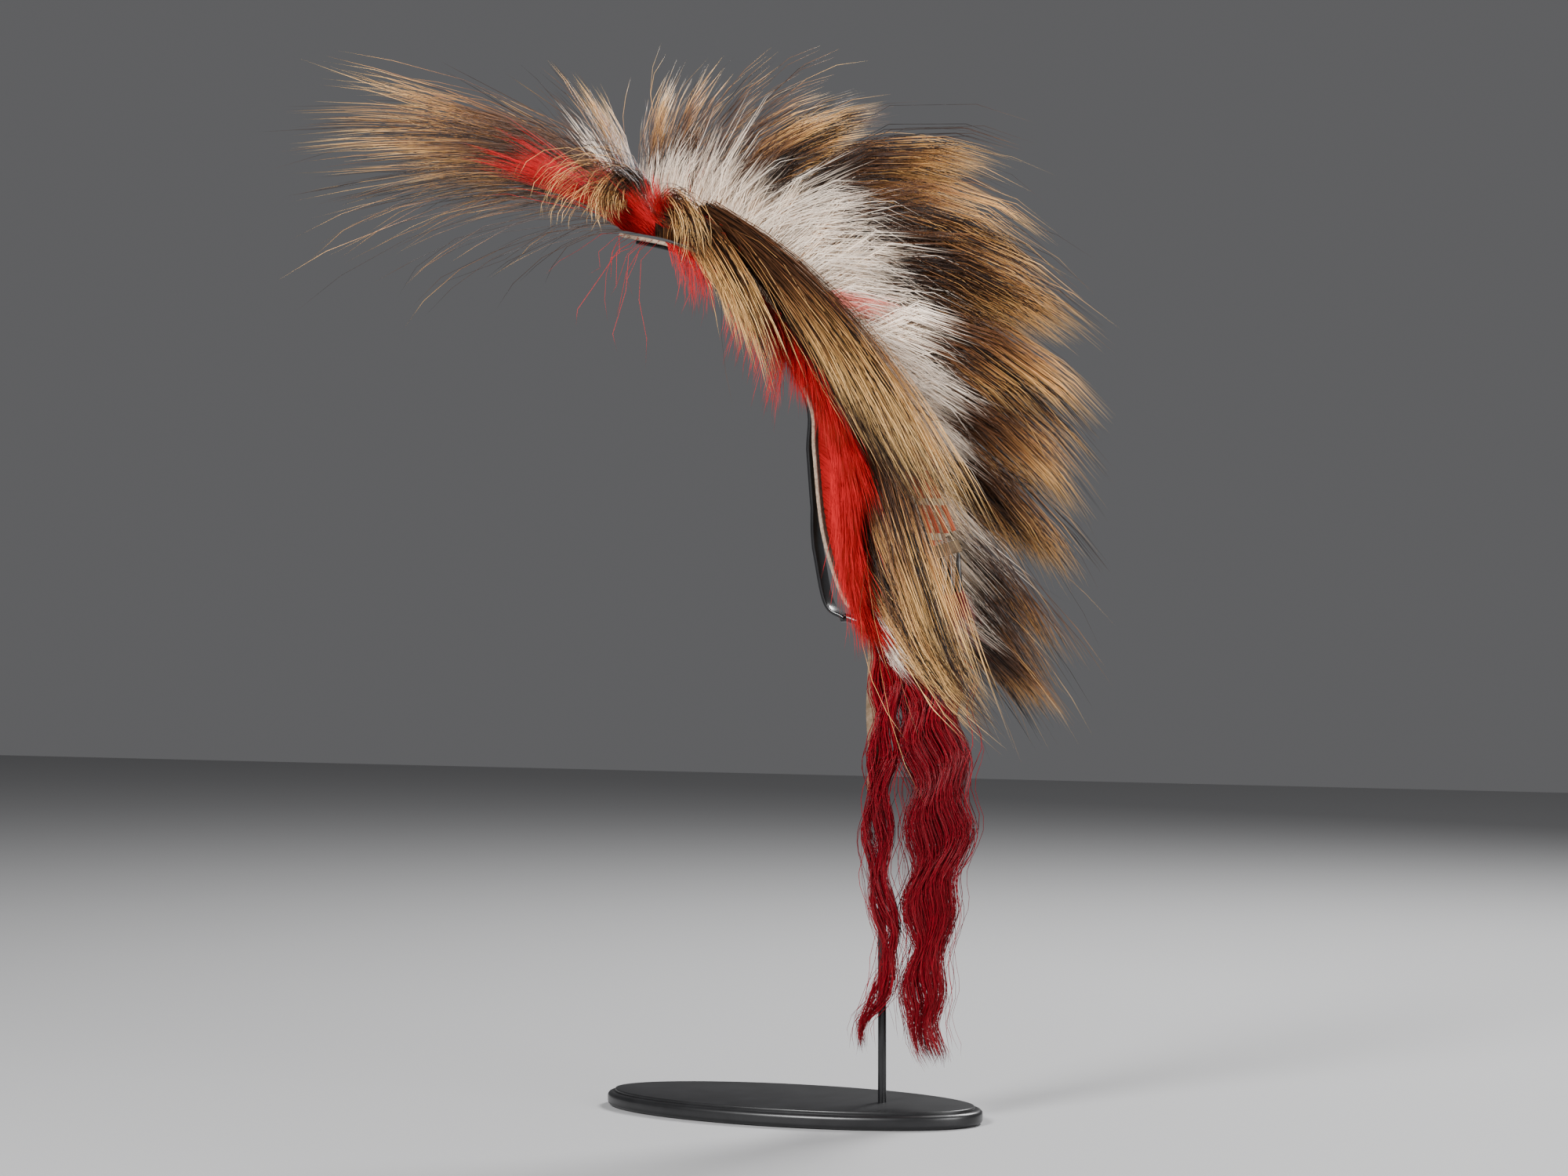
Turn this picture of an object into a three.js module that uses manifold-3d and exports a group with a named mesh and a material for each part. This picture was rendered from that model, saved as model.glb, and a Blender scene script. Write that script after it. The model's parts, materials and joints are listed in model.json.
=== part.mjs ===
// A roach headdress on its display stand.
// A narrow hide strip, bent like the crown and nape of a head, carries two rows of long guard hair
// inside two rows of short red hair. Quill-wrapped slats with metal cones hang in the channel between
// the rows, and a dark red horsehair tail hangs from the back end. A black rod on an oval board holds
// it up by a cradle strap under the hide strip.
// Millimetres, +Z up. The origin is the centre of the board's underside, +X points to the roach's
// back end, and -Y is its near side.
import * as THREE from "three";
import { mergeVertices } from "three/addons/utils/BufferGeometryUtils.js";
import Module from "manifold-3d";

const wasm = await Module();
wasm.setup();

// Gaps
const gap = 0.3; // between pieces that touch

// Oval board
const boardLength = 304.8;
const boardWidth = 139.7;
const boardThickness = 12.7;
const ledgeWidth = 5.8; // from the board's edge to the raised top face
const ledgeDrop = 2.2; // from the top face down to the ledge
const boardEdgeRound = 3.6;
const topEdgeRound = 0.9;
const socketDepth = 8; // of the rod's hole

// Rod, neck and cradle strap
const rodDiameter = 6.35;
const rodOffset = 74.2; // from the board's centre
const neckReach = 33; // from the rod to the strap's lower end
const neckDrop = 66; // the height that the bend takes
const cradleWidth = 16;
const cradleThickness = 3;
const cradleBow = 15; // how far the strap stands off the hide strip near its lower end

// Hide strip that the hair is tied to
const stripWidth = 30;
const stripThickness = 3;
const archRun = 210; // from its front end to its back end, level
const archDrop = 293; // from its front end down to its back end
const archEndInset = 3.2; // its back end lies this far in front of the rod
const archEndHeight = 374;
const neckInset = 0.4; // the neck's highest centre line below the strip's back end
const neckHeight = archEndHeight - neckInset;

// Hair
const guardLength = 260;
const redLength = 84;
const rowWidth = 5.6; // of each tied row
const rowThickness = 4;
const innerRowOffset = 5; // from the strip's middle to the guard hair row
const outerRowOffset = 11.6; // from the strip's middle to the red hair row
const guardLockWidth = 14;
const guardLockThickness = 4.5;
const redLockWidth = 9;
const redLockThickness = 3.6;
const unevenness = 0.05; // share by which a row's locks differ in length
const unevennessStep = 2.4; // radians of that pattern from one lock to the next
const rowSplit = 0.46; // where the crown part of a row meets its back part
const rowSplitGap = 0.012; // share of the strip between the two parts
const rowEnd = 0.99; // share along the strip where the rows end

// Quillwork and cones
const slatLength = 161;
const slatWidth = 3.4;
const slatThickness = 1.3;
const slatPitch = 5.2;
const slatCount = 4;
const slatStart = 0.54; // share along the strip
const tabLength = 9;
const tabWidth = 21;
const tabThickness = 2;
const coneLength = 29;
const coneDiameter = 6.4;
const coneTopDiameter = 2.6;
const coneWall = 0.6;
const coneMouthDepth = 7;
const coneCount = 3;
const conePitch = 7;
const fluffLength = 36;

// Tail and strap
const tailLength = 330;
const tailHeadInset = 1; // the tail's heads below the strip's back end
const tailHeadHeight = archEndHeight - tailHeadInset;
const tailHeadLength = 16;
const tailSpread = 50; // from the rod to the middle of the main lock
const tailWidth = 25; // half the main lock's greatest width
const tailThinnest = 0.25; // a strand's thickness where its lock has no width, as a share
const hideStrapLength = 128;
const hideStrapWidth = 10;
const hideStrapThickness = 2.2;
const hideStrapOffset = 7.6; // on the near side of the rod

// Centre line of the hide strip, front end to back end: shares of archRun and archDrop
const STRIP_LINE = [
  { run: 0.0, drop: 0.0 },
  { run: 0.224, drop: 0.038 },
  { run: 0.386, drop: 0.102 },
  { run: 0.619, drop: 0.28 },
  { run: 0.762, drop: 0.451 },
  { run: 0.781, drop: 0.58 },
  { run: 0.814, drop: 0.782 },
  { run: 0.888, drop: 0.942 },
  { run: 0.95, drop: 0.988 },
  { run: 1.0, drop: 1.0 },
];

// The cradle strap under the hide strip: share along the strip, share of cradleBow
const CRADLE_LINE = [
  { at: 0.03, bow: 0.0 },
  { at: 0.12, bow: 0.0 },
  { at: 0.22, bow: 0.0 },
  { at: 0.33, bow: 0.0 },
  { at: 0.44, bow: 0.0 },
  { at: 0.54, bow: 0.08 },
  { at: 0.64, bow: 0.32 },
  { at: 0.75, bow: 0.36 },
  { at: 0.85, bow: 0.76 },
  { at: 0.92, bow: 0.97 },
];

// The neck from the strap's lower end to the rod: shares of neckReach and neckDrop
const NECK_LINE = [
  { reach: 1.0, drop: 0.0 },
  { reach: 0.88, drop: 0.0 },
  { reach: 0.74, drop: 0.02 },
  { reach: 0.48, drop: 0.075 },
  { reach: 0.22, drop: 0.2 },
  { reach: 0.05, drop: 0.46 },
  { reach: 0.0, drop: 1.0 },
];

// Hair guides. at: share along the strip. length: share of the hair's named length.
// rise: heading in degrees up from +X at the root, at the row's bend and at the tip.
// lean: degrees out of the middle plane, to the row's own side, at the same three places.
const usualBend = 0.4; // share of the length where the bend is
const nearBend = 0.3;
const guide = ([at, length, riseRoot, riseBend, riseTip, leanRoot, leanBend, leanTip]) => ({
  at,
  length,
  rise: [riseRoot, riseBend, riseTip],
  lean: [leanRoot, leanBend, leanTip],
});
// at, length, rise at root, bend and tip, lean at root, bend and tip
const FRONT_TUFT = [
  [0.0, 1.12, 116, 158, 176, 6, 6, 7],
  [0.25, 1.14, 114, 166, 179, 6, 7, 8],
  [0.5, 1.15, 112, 172, 183, 6, 8, 9],
  [0.75, 1.14, 112, 178, 187, 7, 9, 10],
  [1.0, 1.1, 114, 184, 191, 8, 10, 12],
].map(guide);
const FAR_GUARD = [
  [0.02, 0.66, 120, 146, 146, 12, 22, 26],
  [0.09, 0.55, 110, 122, 95, 12, 24, 30],
  [0.16, 0.58, 112, 95, 38, 12, 24, 30],
  [0.24, 0.71, 98, 58, 0, 12, 24, 30],
  [0.33, 0.95, 96, 34, -46, 12, 24, 30],
  [0.43, 1.0, 96, 4, -50, 12, 24, 30],
  [0.54, 0.97, 86, -16, -60, 12, 24, 30],
  [0.67, 0.89, 66, -33, -72, 12, 24, 30],
  [0.85, 0.77, 56, -52, -78, 12, 24, 28],
  [0.97, 0.65, 45, -58, -78, 12, 22, 26],
].map(guide);
const NEAR_GUARD = [
  [0.11, 0.63, 131, 12, -108, 14, 40, 30],
  [0.14, 0.77, 130, -19, -91, 14, 38, 28],
  [0.18, 0.89, 130, -29, -91, 14, 36, 26],
  [0.22, 1.0, 129, -33, -92, 14, 34, 25],
  [0.265, 1.04, 130, -30, -95, 14, 32, 24],
  [0.29, 1.21, 130, -47, -60, 14, 28, 21],
  [0.34, 1.27, 127, -46, -58, 14, 26, 19],
  [0.4, 1.23, 120, -43, -64, 14, 24, 18],
  [0.47, 1.12, 112, -45, -58, 14, 22, 17],
  [0.5, 1.07, 105, -43, -59, 14, 21, 16],
  [0.53, 1.02, 69, -86, -51, 14, 20, 15],
  [0.6, 1.04, 74, -86, -48, 14, 18, 14],
  [0.67, 0.99, 68, -80, -48, 14, 17, 13],
  [0.75, 0.92, 71, -77, -45, 14, 16, 12],
  [0.85, 0.79, 61, -75, -34, 14, 15, 11],
  [0.97, 0.525, 60, -75, -26, 14, 12, 10],
].map(guide);
const NEAR_RED = [
  [0.0, 1.34, 128, 156, 150, 20, 22, 22],
  [0.06, 1.2, 122, 150, 140, 22, 28, 26],
  [0.12, 0.74, 112, 132, 118, 26, 34, 34],
  [0.17, 0.67, 90, 80, -20, 34, 58, 66],
  [0.24, 0.72, 36, -42, -62, 38, 62, 50],
  [0.36, 0.9, 10, -54, -68, 38, 52, 34],
  [0.54, 1.0, -10, -55, -70, 34, 36, 24],
  [0.76, 0.95, -22, -66, -78, 30, 28, 16],
  [0.9, 0.78, -25, -64, -70, 28, 26, 16],
  [1.0, 0.52, -10, -40, -50, 24, 24, 14],
].map(guide);
const FAR_RED = [
  [0.0, 1.2, 122, 150, 146, 20, 24, 26],
  [0.1, 0.95, 112, 138, 124, 26, 34, 38],
  [0.2, 0.74, 90, 80, 40, 34, 48, 56],
  [0.35, 0.79, 50, 20, -20, 38, 52, 54],
  [0.5, 0.9, 30, -20, -50, 38, 48, 44],
  [0.7, 0.95, 0, -50, -70, 34, 36, 28],
  [0.85, 0.86, -10, -60, -72, 30, 28, 20],
  [1.0, 0.52, -10, -40, -50, 24, 24, 14],
].map(guide);

// A lock's outline. along: share of its length. fill: share of the space between its neighbours.
// thick: share of the lock's thickness.
const LOCK_OUTLINE = [
  { along: 0.0, fill: 0.6, thick: 0.5 },
  { along: 0.2, fill: 0.9, thick: 0.95 },
  { along: 0.45, fill: 0.98, thick: 1.0 },
  { along: 0.75, fill: 0.92, thick: 0.7 },
  { along: 1.0, fill: 0.06, thick: 0.1 },
];

// Tail locks. fall: share of tailLength below the head. shift: share of tailSpread from the rod.
// half: half the width, as a share of tailWidth.
const TAIL_MAIN = [
  { fall: 0.0, shift: 0.11, half: 0.16 },
  { fall: 0.06, shift: 0.46, half: 0.7 },
  { fall: 0.13, shift: 0.62, half: 1.0 },
  { fall: 0.24, shift: 0.72, half: 1.0 },
  { fall: 0.31, shift: 0.84, half: 0.96 },
  { fall: 0.385, shift: 0.96, half: 1.0 },
  { fall: 0.46, shift: 0.97, half: 1.0 },
  { fall: 0.53, shift: 1.0, half: 0.9 },
  { fall: 0.6, shift: 0.84, half: 0.8 },
  { fall: 0.675, shift: 0.82, half: 0.72 },
  { fall: 0.75, shift: 0.9, half: 0.56 },
  { fall: 0.82, shift: 0.8, half: 0.7 },
  { fall: 0.9, shift: 0.67, half: 0.64 },
  { fall: 0.96, shift: 0.78, half: 0.5 },
  { fall: 1.0, shift: 0.8, half: 0.16 },
];
const TAIL_SIDE = [
  { fall: 0.0, shift: 0.06, half: 0.2 },
  { fall: 0.07, shift: 0.18, half: 0.32 },
  { fall: 0.2, shift: 0.2, half: 0.4 },
  { fall: 0.27, shift: 0.2, half: 0.36 },
  { fall: 0.35, shift: 0.1, half: 0.36 },
  { fall: 0.46, shift: 0.06, half: 0.38 },
  { fall: 0.57, shift: 0.05, half: 0.34 },
  { fall: 0.64, shift: 0.12, half: 0.31 },
  { fall: 0.71, shift: 0.27, half: 0.33 },
  { fall: 0.79, shift: 0.29, half: 0.24 },
  { fall: 0.86, shift: 0.05, half: 0.26 },
  { fall: 0.91, shift: -0.22, half: 0.12 },
  { fall: 0.97, shift: -0.16, half: 0.06 },
];

// The two tail locks, each of some wavy strands. Head widths, depths towards the far side and
// thicknesses are shares of tailWidth. width: share of the lock's width that a strand has.
// place: share of that half width, to the back.
const TAIL_LOCKS = [
  {
    name: "tail_main_lock",
    line: TAIL_MAIN,
    head: { depth: 0.04, width: 0.616 },
    width: 0.28,
    thickness: 0.27,
    strands: [
      { place: -0.78, depth: 0.34 },
      { place: -0.39, depth: -0.212 },
      { place: 0.0, depth: -0.112 },
      { place: 0.39, depth: 0.332 },
      { place: 0.78, depth: -0.292 },
    ],
  },
  {
    name: "tail_side_lock",
    line: TAIL_SIDE,
    head: { depth: -0.512, width: 0.212 },
    width: 0.6,
    thickness: 0.144,
    strands: [
      { place: -0.5, depth: -0.6 },
      { place: 0.5, depth: -0.68 },
    ],
  },
];

// How far the hide strap's middle bends out, from the top down, as shares of its width
const STRAP_BENDS = [0, 0.06, -0.04, 0.05, 0];

// A piece of fluff. along: share of its length. half: share of its greatest half width.
const FLUFF_OUTLINE = [
  { along: 0.0, half: 0.36 },
  { along: 0.2, half: 0.43 },
  { along: 0.4, half: 0.94 },
  { along: 0.65, half: 1.0 },
  { along: 0.85, half: 1.0 },
  { along: 1.0, half: 0.36 },
];

// The slats' headings, and how these change from one slat to the next, in degrees
const slatGuide = { rise: [12, -55, -69], lean: [0, 0, 0] };
const slatFan = { rise: -1.3, lean: 1.6 };
const slatShares = [0, 0.1, 0.2, 0.35, 0.5, 0.65, 0.8, 0.9, 1];

const finish = (color, roughness, metalness = 0) =>
  new THREE.MeshStandardMaterial({ color, roughness, metalness, flatShading: true });
const blackPaint = finish(0x0b0b0c, 0.45);
const wovenHide = finish(0x8a745c, 0.9);
const redHair = finish(0xb01c12, 0.8);
const guardHair = finish(0xb99468, 0.75);
const quillwork = finish(0xc9553a, 0.6);
const tanHide = finish(0xa98f6b, 0.95);
const darkMetal = finish(0x4c4d4f, 0.4, 0.8);
const redFluff = finish(0x9c2a32, 0.95);
const tailHair = finish(0x6d0f1a, 0.6);

const rad = THREE.MathUtils.degToRad;

// A closed geometry as a solid that can be joined and cut
function solidOf(geometry) {
  const bare = geometry.index ? geometry.toNonIndexed() : geometry.clone();
  bare.deleteAttribute("normal");
  bare.deleteAttribute("uv");
  const merged = mergeVertices(bare, 1e-4);
  return new wasm.Manifold(
    new wasm.Mesh({
      numProp: 3,
      vertProperties: merged.attributes.position.array,
      triVerts: new Uint32Array(merged.index.array),
    }),
  );
}

const join = (solids) => solids.reduce((all, one) => all.add(one));

// A solid as a named mesh
function meshOf(name, solid, material) {
  const made = solid.getMesh();
  const geometry = new THREE.BufferGeometry()
    .setAttribute("position", new THREE.BufferAttribute(made.vertProperties, 3))
    .setIndex(new THREE.BufferAttribute(made.triVerts, 1));
  geometry.computeVertexNormals();
  const mesh = new THREE.Mesh(geometry, material);
  mesh.name = name;
  return mesh;
}

// A closed tube through rings of points, each ring counter-clockwise about the way ahead
function loft(rings) {
  const sides = rings[0].length;
  const faces = [];
  for (let j = 0; j + 1 < rings.length; j++) {
    for (let k = 0; k < sides; k++) {
      const a = j * sides + k;
      const b = j * sides + ((k + 1) % sides);
      faces.push(a, b, b + sides, a, b + sides, a + sides);
    }
  }
  const last = (rings.length - 1) * sides;
  for (let k = 1; k + 1 < sides; k++) {
    faces.push(0, k + 1, k, last, last + k, last + k + 1);
  }
  const points = rings.flat().flatMap((p) => [p.x, p.y, p.z]);
  return new THREE.BufferGeometry()
    .setAttribute("position", new THREE.Float32BufferAttribute(points, 3))
    .setIndex(faces);
}

// Rings across a path: widths and thicknesses are half sizes, across gives the width's direction
function ringsAlong(path, across, halfWidths, halfThicknesses, sides = 4) {
  return path.map((p, j) => {
    const ahead = path[Math.min(j + 1, path.length - 1)].clone();
    ahead.sub(path[Math.max(j - 1, 0)]).normalize();
    const width = across[j].clone().addScaledVector(ahead, -across[j].dot(ahead)).normalize();
    const thickness = new THREE.Vector3().crossVectors(ahead, width);
    return Array.from({ length: sides }, (_, k) => {
      const turn = (2 * Math.PI * k) / sides;
      return p
        .clone()
        .addScaledVector(width, Math.cos(turn) * halfWidths[j])
        .addScaledVector(thickness, Math.sin(turn) * halfThicknesses[j]);
    });
  });
}

// A value between the rows of a table
function between(table, key, column, value) {
  const rows = table.length - 1;
  const i = Math.max(0, Math.min(rows - 1, table.findLastIndex((row) => row[key] <= value)));
  const share = (value - table[i][key]) / (table[i + 1][key] - table[i][key]);
  const mix = (a, b) => THREE.MathUtils.lerp(a, b, THREE.MathUtils.clamp(share, 0, 1));
  const [a, b] = [table[i][column], table[i + 1][column]];
  return Array.isArray(a) ? a.map((x, k) => mix(x, b[k])) : mix(a, b);
}

// The hide strip's centre line, in straight steps that all that lies on the strip shares
const archEnd = rodOffset - archEndInset;
const stripSteps = 32;
const stripCurve = new THREE.CatmullRomCurve3(
  STRIP_LINE.map(
    ({ run, drop }) =>
      new THREE.Vector3(archEnd - archRun * (1 - run), 0, archEndHeight + archDrop * (1 - drop)),
  ),
  false,
  "catmullrom",
  0.5,
);

const stripPoints = stripCurve.getSpacedPoints(stripSteps);
const stripLength = stripCurve.getLength();
const stripNormals = stripPoints.map((_, j) => {
  const ahead = stripCurve.getTangentAt(j / stripSteps);
  return new THREE.Vector3(-ahead.z, 0, ahead.x);
});

// A point at a share along the strip, lifted off its middle on the hair's side
function onStrip(at, lift, y = 0) {
  const j = Math.min(Math.floor(at * stripSteps), stripSteps - 1);
  const lifted = (k) => stripPoints[k].clone().addScaledVector(stripNormals[k], lift);
  return lifted(j).lerp(lifted(j + 1), at * stripSteps - j).setY(y);
}

// The strip's stations between two shares, with both ends
function stations(from, to) {
  const inner = stripPoints.map((_, j) => j / stripSteps);
  const clear = 0.2 / stripSteps; // no inner station lies nearer to an end
  return [from, ...inner.filter((at) => at > from + clear && at < to - clear), to];
}

// A flat band bent in the XZ plane between two edge lines: its width and middle in Y
function band(lower, upper, width, y) {
  const flat = (p) => new THREE.Vector2(p.x, p.z);
  const outline = new THREE.Shape([...lower.map(flat), ...upper.map(flat).reverse()]);
  return solidOf(
    new THREE.ExtrudeGeometry(outline, { depth: width, bevelEnabled: false })
      .rotateX(Math.PI / 2)
      .translate(0, y + width / 2, 0),
  );
}

// A band that follows the strip. bow, where given, is how far each station stands off it.
function stripBand({ from, to, lift, thickness, width, y = 0, bow = () => 0, end = [[], []] }) {
  const edge = (sign) =>
    stations(from, to).map((at) => onStrip(at, lift - bow(at) + (sign * thickness) / 2));
  return band([...edge(-1), ...end[0]], [...edge(1), ...end[1]], width, y);
}

// The path of a hair: its heading turns from the root's to the tip's
function hairPath(root, row, side, length, shares) {
  const heading = (angles, t) =>
    t < row.bend
      ? THREE.MathUtils.lerp(angles[0], angles[1], t / row.bend)
      : THREE.MathUtils.lerp(angles[1], angles[2], (t - row.bend) / (1 - row.bend));
  const fineSteps = 40;
  const fine = [root.clone()];
  for (let j = 0; j < fineSteps; j++) {
    const t = (j + 0.5) / fineSteps;
    const rise = rad(heading(row.rise, t));
    const lean = rad(heading(row.lean, t));
    const step = new THREE.Vector3(
      Math.cos(rise) * Math.cos(lean),
      side * Math.sin(lean),
      Math.sin(rise) * Math.cos(lean),
    );
    fine.push(fine[j].clone().addScaledVector(step, length / fineSteps));
  }
  return shares.map((share) => fine[Math.round(share * fineSteps)]);
}

// The direction across a path, in the XZ plane
function acrossPath(path) {
  return path.map((_, j) => {
    const ahead = path[Math.min(j + 1, path.length - 1)].clone();
    ahead.sub(path[Math.max(j - 1, 0)]);
    return new THREE.Vector3(-ahead.z, 0, ahead.x).normalize();
  });
}

// One lock between two hairs, as a closed tapering strip that is at least its own width
function lockBetween(hairA, hairB, width, thickness) {
  const middle = hairA.map((a, j) => a.clone().add(hairB[j]).multiplyScalar(0.5));
  const across = acrossPath(middle);
  const halfWidths = across.map((v, j) => {
    const space = Math.abs(hairB[j].clone().sub(hairA[j]).dot(v));
    return (Math.max(space, width) * LOCK_OUTLINE[j].fill) / 2;
  });
  const halfThicknesses = LOCK_OUTLINE.map(({ thick }) => (thick * thickness) / 2);
  return solidOf(loft(ringsAlong(middle, across, halfWidths, halfThicknesses)));
}

const rowLift = stripThickness / 2 + gap + rowThickness / 2;

const stripClearance = stripBand({
  from: 0,
  to: 1,
  lift: 0,
  thickness: stripThickness + 2 * gap,
  width: 2 * stripWidth,
});

// A tied row of locks on its backing. fan, where given, is the short stretch that a tuft fans from.
// Every second lock leans out further by the row's spread, in degrees, which makes the row deep.
function hairRow({ guides, side, offset, from, to, locks, size, bend = usualBend, spread = 0, fan }) {
  const shares = LOCK_OUTLINE.map(({ along }) => along);
  const [first, last] = fan ?? [from, to];
  const hair = (place, stretch, out) => {
    const share = from + (to - from) * place;
    const at = first + (last - first) * place;
    const lean = between(guides, "at", "lean", share);
    const row = {
      rise: between(guides, "at", "rise", share),
      lean: [lean[0], lean[1] + out, lean[2] + out],
      bend,
    };
    const length = between(guides, "at", "length", share) * size.length * stretch;
    return hairPath(onStrip(at, rowLift, side * offset), row, side, length, shares);
  };
  const backing = stripBand({
    from: first,
    to: last,
    lift: rowLift,
    thickness: rowThickness,
    width: rowWidth,
    y: side * offset,
  });
  const made = Array.from({ length: locks }, (_, i) => {
    const stretch = 1 + unevenness * Math.sin(i * unevennessStep);
    const out = (i % 2) * spread;
    const [hairA, hairB] = [i, i + 1].map((k) => hair(k / locks, stretch, out));
    return lockBetween(hairA, hairB, size.width, size.thickness);
  });
  return join([backing, ...made]).subtract(stripClearance);
}

// Oval board with a raised top face, and the rod's socket
function standBase() {
  const slab = (inset, round, bottom, top, roundSegments) => {
    const outline = new THREE.Shape().absellipse(
      0,
      0,
      boardLength / 2 - inset - round,
      boardWidth / 2 - inset - round,
      0,
      2 * Math.PI,
    );
    return solidOf(
      new THREE.ExtrudeGeometry(outline, {
        depth: top - bottom - 2 * round,
        bevelThickness: round,
        bevelSize: round,
        bevelSegments: roundSegments,
        curveSegments: 20,
      }).translate(0, 0, bottom + round),
    );
  };
  const ledgeHeight = boardThickness - ledgeDrop;
  const body = slab(0, boardEdgeRound, 0, ledgeHeight, 2);
  const top = slab(ledgeWidth, topEdgeRound, ledgeHeight - 2 * topEdgeRound, boardThickness, 1);
  const socket = new THREE.CylinderGeometry(
    rodDiameter / 2 + gap,
    rodDiameter / 2 + gap,
    2 * socketDepth,
    16,
  )
    .rotateX(Math.PI / 2)
    .translate(rodOffset, 0, boardThickness);
  return body.add(top).subtract(solidOf(socket));
}

// Rod, neck and cradle strap, soldered together
function standArmature() {
  const section = new THREE.Shape().absarc(0, 0, rodDiameter / 2, 0, 2 * Math.PI);
  const rodFoot = boardThickness - socketDepth + gap;
  const neck = NECK_LINE.map(
    ({ reach, drop }) =>
      new THREE.Vector3(rodOffset - neckReach * reach, 0, neckHeight - neckDrop * drop),
  );
  const neckPath = new THREE.CatmullRomCurve3(neck, false, "catmullrom", 0.5);
  const neckTube = new THREE.ExtrudeGeometry(section, {
    extrudePath: neckPath,
    steps: 14,
    curveSegments: 5,
  });
  const rodTop = neckHeight - neckDrop + rodDiameter;
  const rod = new THREE.CylinderGeometry(rodDiameter / 2, rodDiameter / 2, rodTop - rodFoot, 14)
    .rotateX(Math.PI / 2)
    .translate(rodOffset, 0, (rodTop + rodFoot) / 2);
  const under = stripThickness / 2 + gap + cradleThickness / 2;
  const hook = neck[1];
  const half = cradleThickness / 2;
  const strap = stripBand({
    from: CRADLE_LINE[0].at,
    to: CRADLE_LINE[CRADLE_LINE.length - 1].at,
    lift: -under,
    thickness: cradleThickness,
    width: cradleWidth,
    bow: (at) => between(CRADLE_LINE, "at", "bow", at) * cradleBow,
    end: [[hook.clone().setZ(hook.z - half)], [hook.clone().setZ(hook.z + half)]],
  });
  return join([solidOf(rod), solidOf(neckTube), strap]);
}

// Slats one behind the other along the channel, which fan out towards the tab
const slatLift = stripThickness / 2 + gap + slatThickness;

function slatLine(i) {
  const place = i - (slatCount - 1) / 2;
  const root = onStrip(slatStart + (place * slatPitch) / stripLength, slatLift);
  const turned = (angles, step) => angles.map((angle) => angle + place * step);
  const row = {
    rise: turned(slatGuide.rise, slatFan.rise),
    lean: turned(slatGuide.lean, slatFan.lean),
    bend: usualBend,
  };
  return hairPath(root, row, -1, slatLength - place * slatPitch, slatShares);
}
const slatLines = Array.from({ length: slatCount }, (_, i) => slatLine(i));
const slatEnds = slatLines.map((line) => line[line.length - 1]);
const slatEnd = slatEnds
  .reduce((sum, p) => sum.add(p), new THREE.Vector3())
  .divideScalar(slatCount);
const slatRise = rad(slatGuide.rise[2]);
const slatWay = new THREE.Vector3(Math.cos(slatRise), 0, Math.sin(slatRise));
const slatSide = slatEnds[0].clone().sub(slatEnds[slatCount - 1]);
slatSide.addScaledVector(slatWay, -slatSide.dot(slatWay)).normalize();
const slatReach = Math.max(...slatEnds.map((p) => p.clone().sub(slatEnd).dot(slatWay)));

function slat(line) {
  const halves = line.map(() => 1);
  const rings = ringsAlong(line, acrossPath(line), halves, halves).map((ring, j) => {
    const width = ring[0].clone().sub(line[j]).multiplyScalar(slatWidth / 2);
    const thickness = ring[1].clone().sub(line[j]).multiplyScalar(slatThickness / 2);
    const corners = [
      [1, 1],
      [-1, 1],
      [-1, -1],
      [1, -1],
    ];
    return corners.map(([w, t]) =>
      line[j].clone().addScaledVector(width, w).addScaledVector(thickness, t),
    );
  });
  return solidOf(loft(rings));
}

// Places a geometry that hangs along -Z so that it hangs along the slats, in their plane
const slatFrame = new THREE.Matrix4().makeBasis(
  slatSide,
  new THREE.Vector3().crossVectors(slatWay.clone().negate(), slatSide),
  slatWay.clone().negate(),
);
const tabStart = slatEnd.clone().addScaledVector(slatWay, slatReach + 2 * gap);

function hideTab() {
  const tab = new THREE.BoxGeometry(tabWidth, tabThickness, tabLength)
    .translate(0, 0, -tabLength / 2)
    .applyMatrix4(slatFrame)
    .translate(tabStart.x, tabStart.y, tabStart.z);
  return solidOf(tab);
}

// Cones hang straight down from the tab's lower edge
const coneClearance = gap + (coneTopDiameter / 2) * slatWay.x;
const coneStart = tabStart.clone().addScaledVector(slatWay, tabLength + coneClearance);
function coneTop(i) {
  const shift = (i - (coneCount - 1) / 2) * conePitch;
  return coneStart.clone().addScaledVector(slatSide, shift);
}
function metalCone(i) {
  const profile = [
    [0, 0],
    [coneTopDiameter / 2, 0],
    [coneDiameter / 2, -coneLength],
    [coneDiameter / 2 - coneWall, -coneLength],
    [coneTopDiameter / 2, coneMouthDepth - coneLength],
    [0, coneMouthDepth - coneLength],
  ].map(([r, z]) => new THREE.Vector2(r, z));
  const top = coneTop(i);
  const cone = new THREE.LatheGeometry(profile.reverse(), 12).rotateX(Math.PI / 2);
  return solidOf(cone.translate(top.x, top.y, top.z));
}

// Fluff that comes out of a cone's mouth
function fluff(i) {
  const top = coneTop(i);
  const start = -coneLength + coneMouthDepth - gap;
  const path = FLUFF_OUTLINE.map(({ along }) =>
    top.clone().add(new THREE.Vector3(0, 0, start - along * fluffLength)),
  );
  const halves = FLUFF_OUTLINE.map(({ half }) => half * (conePitch / 2 - gap));
  const across = path.map(() => slatSide);
  return solidOf(loft(ringsAlong(path, across, halves, halves, 6)));
}

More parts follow.
